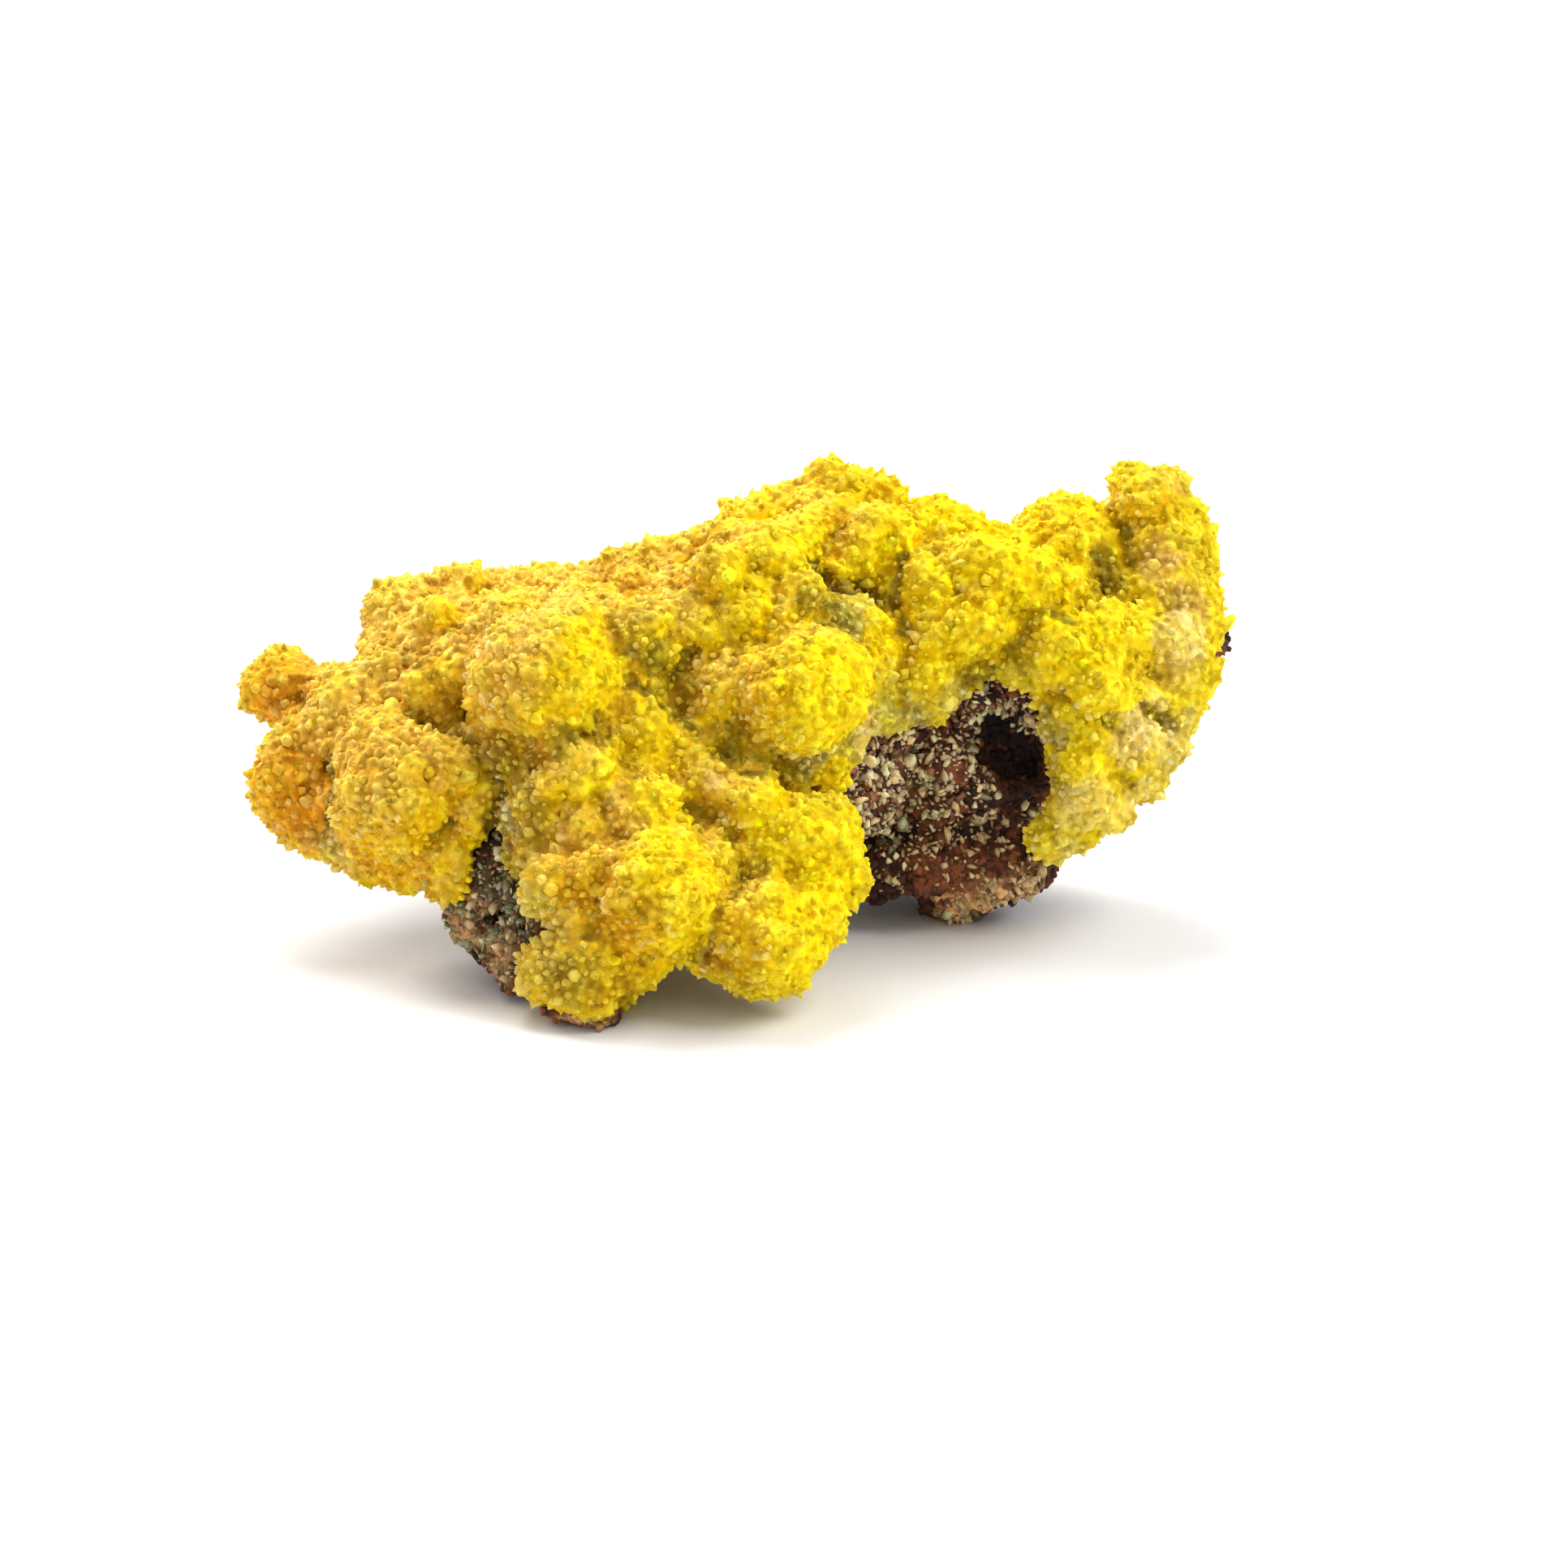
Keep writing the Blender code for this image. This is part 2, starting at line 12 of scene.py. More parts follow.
import bpy
import numpy as np
from bpy.props import FloatProperty, FloatVectorProperty, IntProperty, PointerProperty
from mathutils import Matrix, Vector, noise
from mathutils.bvhtree import BVHTree
from mathutils.kdtree import KDTree


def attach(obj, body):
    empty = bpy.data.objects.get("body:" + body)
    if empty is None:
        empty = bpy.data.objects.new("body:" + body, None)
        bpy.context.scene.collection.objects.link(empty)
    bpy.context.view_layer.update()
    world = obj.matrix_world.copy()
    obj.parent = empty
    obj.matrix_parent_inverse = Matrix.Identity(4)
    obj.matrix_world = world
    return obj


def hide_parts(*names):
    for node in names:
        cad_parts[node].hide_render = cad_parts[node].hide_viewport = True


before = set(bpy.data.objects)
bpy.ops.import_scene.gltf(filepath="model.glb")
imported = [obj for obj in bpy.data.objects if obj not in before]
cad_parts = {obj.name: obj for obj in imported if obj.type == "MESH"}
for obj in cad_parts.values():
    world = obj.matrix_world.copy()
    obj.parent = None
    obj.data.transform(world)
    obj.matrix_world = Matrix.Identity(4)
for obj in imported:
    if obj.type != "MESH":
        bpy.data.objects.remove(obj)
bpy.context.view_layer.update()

bl_info = {
    "name": "Mimetite specimen",
    "version": (1, 0, 0),
    "blender": (4, 5, 0),
    "location": "View3D > Sidebar > Specimen",
    "description": "Dresses a mimetite specimen with its crystals, rock and stage",
    "category": "Add Mesh",
}

MM = 0.001
DISPLAY_TILT = math.radians(20)    # how far the display view looks down
MIDDLE = (-0.18, -16.37)           # where the near foot's middle line lies in the frame, across and in depth


# ---------------------------------------------------------------- places

def place(across, rise, depth):
    """A point of the frame, in millimetres, from its place in the display view."""
    height = rise / math.cos(DISPLAY_TILT) - depth * math.tan(DISPLAY_TILT)
    return across + MIDDLE[0], depth + MIDDLE[1], height


AIM_ACROSS, AIM_RISE = 3.0, 13.82
AIM = Vector(place(AIM_ACROSS, AIM_RISE, 16.0))    # what the camera looks at, near the middle of the specimen
EYE_DISTANCE = 400.0
BACK = Vector((0, -math.cos(DISPLAY_TILT), math.sin(DISPLAY_TILT)))
EYE = AIM + BACK * EYE_DISTANCE


def seen_at(surface, across, rise):
    """The first place of a surface, in millimetres, behind that point of the display view."""
    up = Vector((0, math.sin(DISPLAY_TILT), math.cos(DISPLAY_TILT)))
    through = AIM + Vector((across - AIM_ACROSS, 0, 0)) + up * (rise - AIM_RISE)
    hit = surface.ray_cast(EYE * MM, (through - EYE).normalized())[0]
    return None if hit is None else hit / MM


def colour_property(name, description, default):
    return FloatVectorProperty(name=name, description=description, subtype="COLOR", size=3, min=0, max=1,
                               default=default)


def length_property(name, description, millimetres):
    return FloatProperty(name=name, description=description, unit="LENGTH", precision=6, min=0,
                         default=millimetres * MM)


def seed_property(description, default):
    return IntProperty(name="Seed", description=description, default=default)


# ---------------------------------------------------------------- sizes and colours

class CrustSettings(bpy.types.PropertyGroup):
    grid: length_property("Crust grid", "Size of the faces of the finished crust", 0.16)
    crystal_depth: length_property("Crystal depth", "How far the skin lies below its crystals", 0.58)
    nodule_spacing: length_property("Nodule spacing", "Least distance between two nodules on the lobes", 2.1)
    nodule_radius: length_property("Nodule radius", "Usual radius of a nodule", 1.2)
    crystal_spacing: length_property("Crystal spacing", "Least distance between two crystals", 0.40)
    crystal_radius: length_property("Crystal radius", "Usual radius of a crystal's prism", 0.29)
    crystal_height: length_property("Crystal height", "Usual length of a crystal", 0.70)
    tip_spacing: length_property("Tip spacing", "Least distance between two sharper single crystals", 0.48)
    crystal_lean: FloatProperty(name="Crystal lean", description="Largest lean from the skin's normal",
                                subtype="ANGLE", default=math.radians(38))
    seed: seed_property("Seed of the scatter", 11)
    # Lemon and gold are one yellow as painted light and painted shade: lemon on the sides that face the light
    # at the right, gold on those that face left.
    lemon: colour_property("Lemon", "Bright yellow of the sides that face right", (0.96, 0.76, 0.005))
    gold: colour_property("Gold", "Deeper yellow of the sides that face left", (0.84, 0.53, 0.010))
    # Amber and ochre are painted shade, on the sides that face left and in the hollows.
    amber: colour_property("Amber", "Deep yellow between the crystals", (0.66, 0.34, 0.006))
    ochre: colour_property("Ochre", "Deep yellow between the crystals at the right", (0.68, 0.47, 0.008))
    orange: colour_property("Orange", "The two small lobes at the left end", (0.76, 0.33, 0.010))
    # Honey is painted light on the tops at the left.
    honey: colour_property("Honey", "Pale warm yellow of the tops at the left", (0.84, 0.58, 0.13))
    # Cream and straw also paint the highlights on the crystals' tips and on convex rims.
    cream: colour_property("Cream", "Pale tips and patches", (0.90, 0.74, 0.30))
    straw: colour_property("Straw", "Pale yellow of the crystals' tips", (0.97, 0.80, 0.05))
    peach: colour_property("Peach", "Pinkish patches of the right knob", (0.80, 0.50, 0.20))
    green: colour_property("Green", "Greenish yellow near the hollow", (0.58, 0.57, 0.09))
    sage: colour_property("Sage", "Pale grey-green of the crust's rims", (0.50, 0.52, 0.27))
    # Olive and brown are painted shade between the lobes, in the hollows and in the crevices.
    olive: colour_property("Olive", "Greenish brown between the lobes", (0.26, 0.19, 0.015))
    brown: colour_property("Brown", "Depths of the crevices", (0.10, 0.045, 0.008))
    rust: colour_property("Rust", "Small red-brown spots", (0.20, 0.045, 0.008))


class RockSettings(bpy.types.PropertyGroup):
    grid: length_property("Rock grid", "Size of the faces of the rock", 0.33)
    crag_size: length_property("Crag size", "Width of the crags of the rock", 1.4)
    crag_height: length_property("Crag height", "Relief of the crags", 0.55)
    grain_spacing: length_property("Grain spacing", "Least distance between two grains of the rock", 0.42)
    grain_radius: length_property("Grain radius", "Usual radius of a grain", 0.24)
    seed: seed_property("Seed of the grains", 23)
    brown: colour_property("Brown", "Dark red-brown of the rock", (0.075, 0.026, 0.014))
    rust: colour_property("Rust", "Redder grains", (0.26, 0.085, 0.026))
    # The tan of the lower lip is its own colour, made lighter as painted light on its lit top.
    tan: colour_property("Tan", "Ochre of the lower lip and the feet", (1.0, 0.66, 0.30))
    moss: colour_property("Moss", "Grey-green rock at the left", (0.14, 0.11, 0.045))
    # Painted shade, nearly black, for the rock's hollows and pits.
    black: colour_property("Black", "Deep pits", (0.012, 0.008, 0.008))


class DruseSettings(bpy.types.PropertyGroup):
    spacing: length_property("Druse spacing", "Least distance between two pale crystals", 0.25)
    radius: length_property("Druse radius", "Usual radius of a pale crystal", 0.19)
    seed: seed_property("Seed of the pale crystals", 31)
    white: colour_property("White", "Palest crystals of the hollow", (1.0, 0.80, 0.42))
    tan: colour_property("Tan", "Ochre crystals of the hollow and its lip", (0.80, 0.56, 0.26))
    sage: colour_property("Sage", "Grey-green crystals of the hollow", (0.32, 0.31, 0.15))


class StageSettings(bpy.types.PropertyGroup):
    floor_size: length_property("Floor size", "Side of the floor", 6000.0)
    floor: colour_property("Floor", "Colour of the floor", (0.90, 0.90, 0.91))
    daylight: colour_property("Daylight", "Colour of the light from all round", (0.95, 0.96, 1.0))
    view_width: length_property("View width", "Width of the view at the specimen's middle", 87.8)


# ---------------------------------------------------------------- modelling helpers

def pick(obj):
    """Makes the object the only one selected, and the active one."""
    if bpy.context.object and bpy.context.object.mode != "OBJECT":
        bpy.ops.object.mode_set(mode="OBJECT")
    bpy.ops.object.select_all(action="DESELECT")
    obj.select_set(True)
    bpy.context.view_layer.objects.active = obj


def copy_of_node(node, name):
    """A piece that starts as a copy of a CAD node's mesh, its loose triangles merged."""
    piece = bpy.data.objects.new(name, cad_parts[node].data.copy())
    bpy.context.scene.collection.objects.link(piece)
    piece.data.materials.clear()
    pick(piece)
    bpy.ops.object.mode_set(mode="EDIT")
    bpy.ops.mesh.select_all(action="SELECT")
    bpy.ops.mesh.remove_doubles(threshold=1e-6)
    bpy.ops.object.mode_set(mode="OBJECT")
    return piece


def modify(obj, kind, **settings):
    """Adds a modifier and applies it."""
    pick(obj)
    modifier = obj.modifiers.new(kind.lower(), kind)
    for key, value in settings.items():
        setattr(modifier, key, value)
    bpy.ops.object.modifier_apply(modifier=modifier.name)


def fuse(obj, grid):
    """Makes the object's parts one closed skin, on a grid of that size."""
    modify(obj, "REMESH", mode="VOXEL", voxel_size=grid)


def relief(obj, name, kind, size, height, mid=0.5):
    """Raises and lowers the surface by a noise of that size."""
    texture = bpy.data.textures.new(name, kind)
    texture.noise_scale = size
    modify(obj, "DISPLACE", texture=texture, texture_coords="LOCAL", strength=height, mid_level=mid)


def polygons_of(obj):
    """Each face as the list of its vertices' numbers."""
    return [list(face.vertices) for face in obj.data.polygons]


def tree_of(obj):
    """For distances to the object's surface."""
    return BVHTree.FromPolygons([v.co for v in obj.data.vertices], polygons_of(obj))


def away_from(tree, distance, overgrowth=False):
    """A test for scattered points: further than that from the other surface, or on a small lobe."""
    def test(points, normals, hollow):
        far = np.array([tree.find_nearest(Vector(p) * MM, distance * MM)[0] is None for p in points.tolist()])
        return far | near_overgrowth(points) if overgrowth else far
    return test


def near_overgrowth(points):
    """Whether each point lies on one of the small lobes that grow over the rock."""
    over = SKIN["over"]
    gaps = np.linalg.norm(points[:, None, :] - over[None, :, :3], axis=2) - over[:, 3]
    return gaps.min(axis=1) < OVERGROWTH_REACH


def add_balls(obj, centres, radii):
    """Joins balls to the object, for a voxel remesh to fuse."""
    bpy.ops.mesh.primitive_ico_sphere_add(subdivisions=3, radius=1)
    shape = take_shape(bpy.context.object)
    count = len(centres)
    turns = np.eye(3)[None] * radii[:, None, None]
    balls = joined_copies("balls", [shape], np.zeros(count, int), centres, turns)
    pick(obj)
    balls.select_set(True)
    bpy.ops.object.join()


def press_flat(piece):
    """Keeps the piece on the ground: nothing reaches below it."""
    points = vertices_of(piece)
    points[:, 2] = np.maximum(points[:, 2], 0)
    move_vertices(piece, points)


def add_piece(piece, slot, *replaced):
    """Hands the finished piece to the frame: what it rides and the nodes that it stands for. The slot is not
    used.
    """
    press_flat(piece)
    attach(piece, "root")
    if replaced:
        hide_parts(*replaced)


def array_of(collection, key, width, kind=float):
    """One value of every item of a mesh's collection, as rows of that width."""
    values = np.empty(len(collection) * width, kind)
    collection.foreach_get(key, values)
    return values.reshape(-1, width) if width > 1 else values


def vertices_of(obj):
    return array_of(obj.data.vertices, "co", 3)


def move_vertices(obj, points):
    obj.data.vertices.foreach_set("co", points.reshape(-1))
    obj.data.update()


def take_shape(obj):
    """The object's (points, polygons), for copies of it. The object itself is removed."""
    shape = vertices_of(obj), polygons_of(obj)
    bpy.data.objects.remove(obj)
    return shape


# ---------------------------------------------------------------- surfaces as arrays

class Surface:
    """The triangles, normals and hollows of a mesh, for scattering and colouring. Lengths are millimetres."""

    def __init__(self, obj, hollow_steps=(6, 30)):
        mesh = obj.data
        mesh.calc_loop_triangles()
        self.points = vertices_of(obj) / MM
        self.normals = array_of(mesh.vertices, "normal", 3)
        self.edges = array_of(mesh.edges, "vertices", 2, np.int32)
        self.triangles = array_of(mesh.loop_triangles, "vertices", 3, np.int32)
        self.polygons = np.array([face.vertices[0] for face in mesh.polygons])
        self.hollow = self.hollowness(hollow_steps)

    def averaged(self, values, steps):
        """Values averaged over each vertex's neighbours, that many times."""
        a, b = self.edges.T
        ends = np.concatenate([a, b])
        others = np.concatenate([b, a])
        count = np.maximum(np.bincount(ends, minlength=len(values)), 1)[:, None]
        for _ in range(steps):
            columns = values[others].T
            sums = [np.bincount(ends, weights=column, minlength=len(values)) for column in columns]
            values = np.stack(sums, axis=1) / count
        return values

    def hollowness(self, steps):
        """How deep each vertex lies below the smoothed surface round it, in millimetres."""
        depth = np.zeros(len(self.points))
        for count in steps:
            offset = self.averaged(self.points, count) - self.points
            depth += (offset * self.normals).sum(axis=1)
        return depth

    def scatter(self, rng, spacing, keep):
        """Evenly spread random places, at least the spacing apart, as (points, normals, hollow)."""
        corners = self.points[self.triangles]
        across = np.cross(corners[:, 1] - corners[:, 0], corners[:, 2] - corners[:, 0])
        area = np.linalg.norm(across, axis=1) / 2
        tries = int(area.sum() / spacing ** 2 * 3.2)
        chosen = rng.choice(len(area), tries, p=area / area.sum())
        u, v = rng.random(tries), rng.random(tries)
        over = u + v > 1
        u[over], v[over] = 1 - u[over], 1 - v[over]
        weights = np.stack([1 - u - v, u, v], axis=1)[:, :, None]
        points = (corners[chosen] * weights).sum(axis=1)
        normals = (self.normals[self.triangles[chosen]] * weights).sum(axis=1)
        normals /= np.linalg.norm(normals, axis=1)[:, None]
        hollow = (self.hollow[self.triangles[chosen]] * weights[:, :, 0]).sum(axis=1)
        wanted = keep(points, normals, hollow)
        points, normals, hollow = points[wanted], normals[wanted], hollow[wanted]
        apart = spread_out(points, spacing)
        return points[apart], normals[apart], hollow[apart]


def spread_out(points, spacing):
    """Numbers of the points that are kept so that no two are nearer than the spacing."""
    cells = np.floor(points / spacing).astype(int)
    grid = {}
    kept = []
    around = [(i, j, k) for i in (-1, 0, 1) for j in (-1, 0, 1) for k in (-1, 0, 1)]
    limit = spacing ** 2
    for n, (cell, (x, y, z)) in enumerate(zip(cells.tolist(), points.tolist())):
        near = False
        for i, j, k in around:
            for px, py, pz in grid.get((cell[0] + i, cell[1] + j, cell[2] + k), ()):
                if (px - x) ** 2 + (py - y) ** 2 + (pz - z) ** 2 < limit:
                    near = True
                    break
            if near:
                break
        if not near:
            grid.setdefault(tuple(cell), []).append((x, y, z))
            kept.append(n)
    return np.array(kept)


def mottle(points, size, offset=0.0):
    """Soft random patches of that size in millimetres, from -1 to 1."""
    shift = Vector((offset, offset * 0.7, -offset))
    return np.array([noise.noise(Vector(p) / size + shift) for p in points.tolist()])


def ramp(values, low, high):
    """From 0 at the low value to 1 at the high one, eased at both ends."""
    t = np.clip((values - low) / (high - low), 0, 1)
    return t * t * (3 - 2 * t)


def blend_colours(base, colour, amount):
    amount = np.clip(amount, 0, 1)[:, None]
    return base * (1 - amount) + np.atleast_2d(colour) * amount


# ---------------------------------------------------------------- crystal shapes

def edit_ring(obj, level):
    """In edit mode, selects only the vertices at that height of the crystal."""
    bpy.ops.mesh.select_all(action="DESELECT")
    bpy.ops.object.mode_set(mode="OBJECT")
    for v in obj.data.vertices:
        v.select = abs(v.co.z - level) < 1e-4
    bpy.ops.object.mode_set(mode="EDIT")


def model_crystal(sides, base, tip_level, tip_width, squash):
    """A prism of unit radius and unit length with a pointed or blunt tip, its foot drawn in."""
    bpy.ops.mesh.primitive_cylinder_add(vertices=sides, radius=1, depth=tip_level, end_fill_type="NGON",
                                        location=(0, 0, tip_level / 2))
    crystal = bpy.context.object
    bpy.ops.object.transform_apply(location=True, rotation=True, scale=True)
    bpy.ops.object.mode_set(mode="EDIT")
    bpy.ops.mesh.select_mode(type="VERT")
    edit_ring(crystal, 0)
    bpy.ops.transform.resize(value=(base, base, 1))
    bpy.ops.mesh.select_mode(type="FACE")
    bpy.ops.object.mode_set(mode="OBJECT")
    for face in crystal.data.polygons:
        face.select = face.normal.z > 0.9
    bpy.ops.object.mode_set(mode="EDIT")
    if tip_width > 0:
        bpy.ops.mesh.extrude_region_move(TRANSFORM_OT_translate={"value": (0, 0, 1 - tip_level)})
        bpy.ops.transform.resize(value=(tip_width, tip_width, 1))
    else:
        bpy.ops.mesh.poke(offset=1 - tip_level)
    bpy.ops.mesh.select_all(action="SELECT")
    bpy.ops.transform.resize(value=(1, squash, 1), center_override=(0, 0, 0))
    bpy.ops.object.mode_set(mode="OBJECT")
    points, polygons = take_shape(crystal)
    return points, sorted(polygons)    # extruding lists the same faces in another order each run


def model_grain(seed):
    """A small angular lump of unit radius."""
    bpy.ops.mesh.primitive_ico_sphere_add(subdivisions=1, radius=1)
    bpy.ops.object.mode_set(mode="EDIT")
    bpy.ops.mesh.select_all(action="SELECT")
    bpy.ops.transform.vertex_random(offset=0.5, uniform=0.6, seed=seed)
    bpy.ops.object.mode_set(mode="OBJECT")
    return take_shape(bpy.context.object)


def joined_copies(name, shapes, kinds, places, turns):
    """One mesh that holds, for each place, a copy of the shape of that kind."""
    points, loops, totals = [], [], []
    start = 0
    for number, (corners, polygons) in enumerate(shapes):
        chosen = np.flatnonzero(kinds == number)
        moved = np.einsum("nij,vj->nvi", turns[chosen], corners) + places[chosen][:, None, :]
        points.append(moved.reshape(-1, 3))
        flat = np.concatenate([np.array(polygon) for polygon in polygons])
        sizes = np.array([len(polygon) for polygon in polygons])
        offsets = start + np.arange(len(chosen)) * len(corners)
        loops.append((flat[None, :] + offsets[:, None]).reshape(-1))
        totals.append(np.tile(sizes, len(chosen)))
        start += len(chosen) * len(corners)
    points = np.concatenate(points) * MM
    loops, totals = np.concatenate(loops), np.concatenate(totals)
    mesh = bpy.data.meshes.new(name)
    mesh.vertices.add(len(points))
    mesh.vertices.foreach_set("co", points.reshape(-1))
    mesh.loops.add(len(loops))
    mesh.loops.foreach_set("vertex_index", loops.astype(np.int32))
    mesh.polygons.add(len(totals))
    mesh.polygons.foreach_set("loop_start", np.concatenate([[0], np.cumsum(totals)[:-1]]).astype(np.int32))
    mesh.update(calc_edges=True)
    mesh.validate()
    piece = bpy.data.objects.new(name, mesh)
    bpy.context.scene.collection.objects.link(piece)
    return piece


def paint_copies(piece, shapes, kinds, colours, tip_colours=None, tip_share=None, foot_shade=np.ones(3)):
    """Gives each copy its colour, which may run from a darker foot, painted shade, to a tip of another
    colour, which can be a painted highlight.
    """
    tints = []
    for number, (corners, _) in enumerate(shapes):
        chosen = np.flatnonzero(kinds == number)
        level = np.clip((corners[:, 2] - corners[:, 2].min()) / np.ptp(corners[:, 2]), 0, 1)
        tint = colours[chosen][:, None, :] * (foot_shade + (1 - foot_shade) * level[:, None])[None, :, :]
        if tip_colours is not None:
            share = (level[None, :] ** 1.5 * tip_share[chosen][:, None])[:, :, None]
            tint = tint * (1 - share) + tip_colours[chosen][:, None, :] * share
        tints.append(tint.reshape(-1, 3))
    paint(piece, np.concatenate(tints))


def paint(piece, colours):
    """Stores a colour for each vertex in the attribute that the materials read."""
    layer = piece.data.color_attributes.new("tint", "FLOAT_COLOR", "POINT")
    values = np.ones((len(piece.data.vertices), 4), np.float32)
    values[:, :3] = np.clip(colours, 0, 1)
    layer.data.foreach_set("color", values.reshape(-1))


def leaning_frames(rng, normals, lean, widths, heights):
    """Matrices that stand a shape of unit size along each normal, leaning and turned at random."""
    wobble = rng.normal(size=normals.shape)
    wobble -= (wobble * normals).sum(axis=1)[:, None] * normals
    wobble /= np.linalg.norm(wobble, axis=1)[:, None]
    angle = lean * rng.random(len(normals))[:, None] ** 0.8
    up = normals * np.cos(angle) + wobble * np.sin(angle)
    side = rng.normal(size=normals.shape)
    side -= (side * up).sum(axis=1)[:, None] * up
    side /= np.linalg.norm(side, axis=1)[:, None]
    third = np.cross(up, side)
    return np.stack([side * widths[:, None], third * widths[:, None], up * heights[:, None]], axis=2)
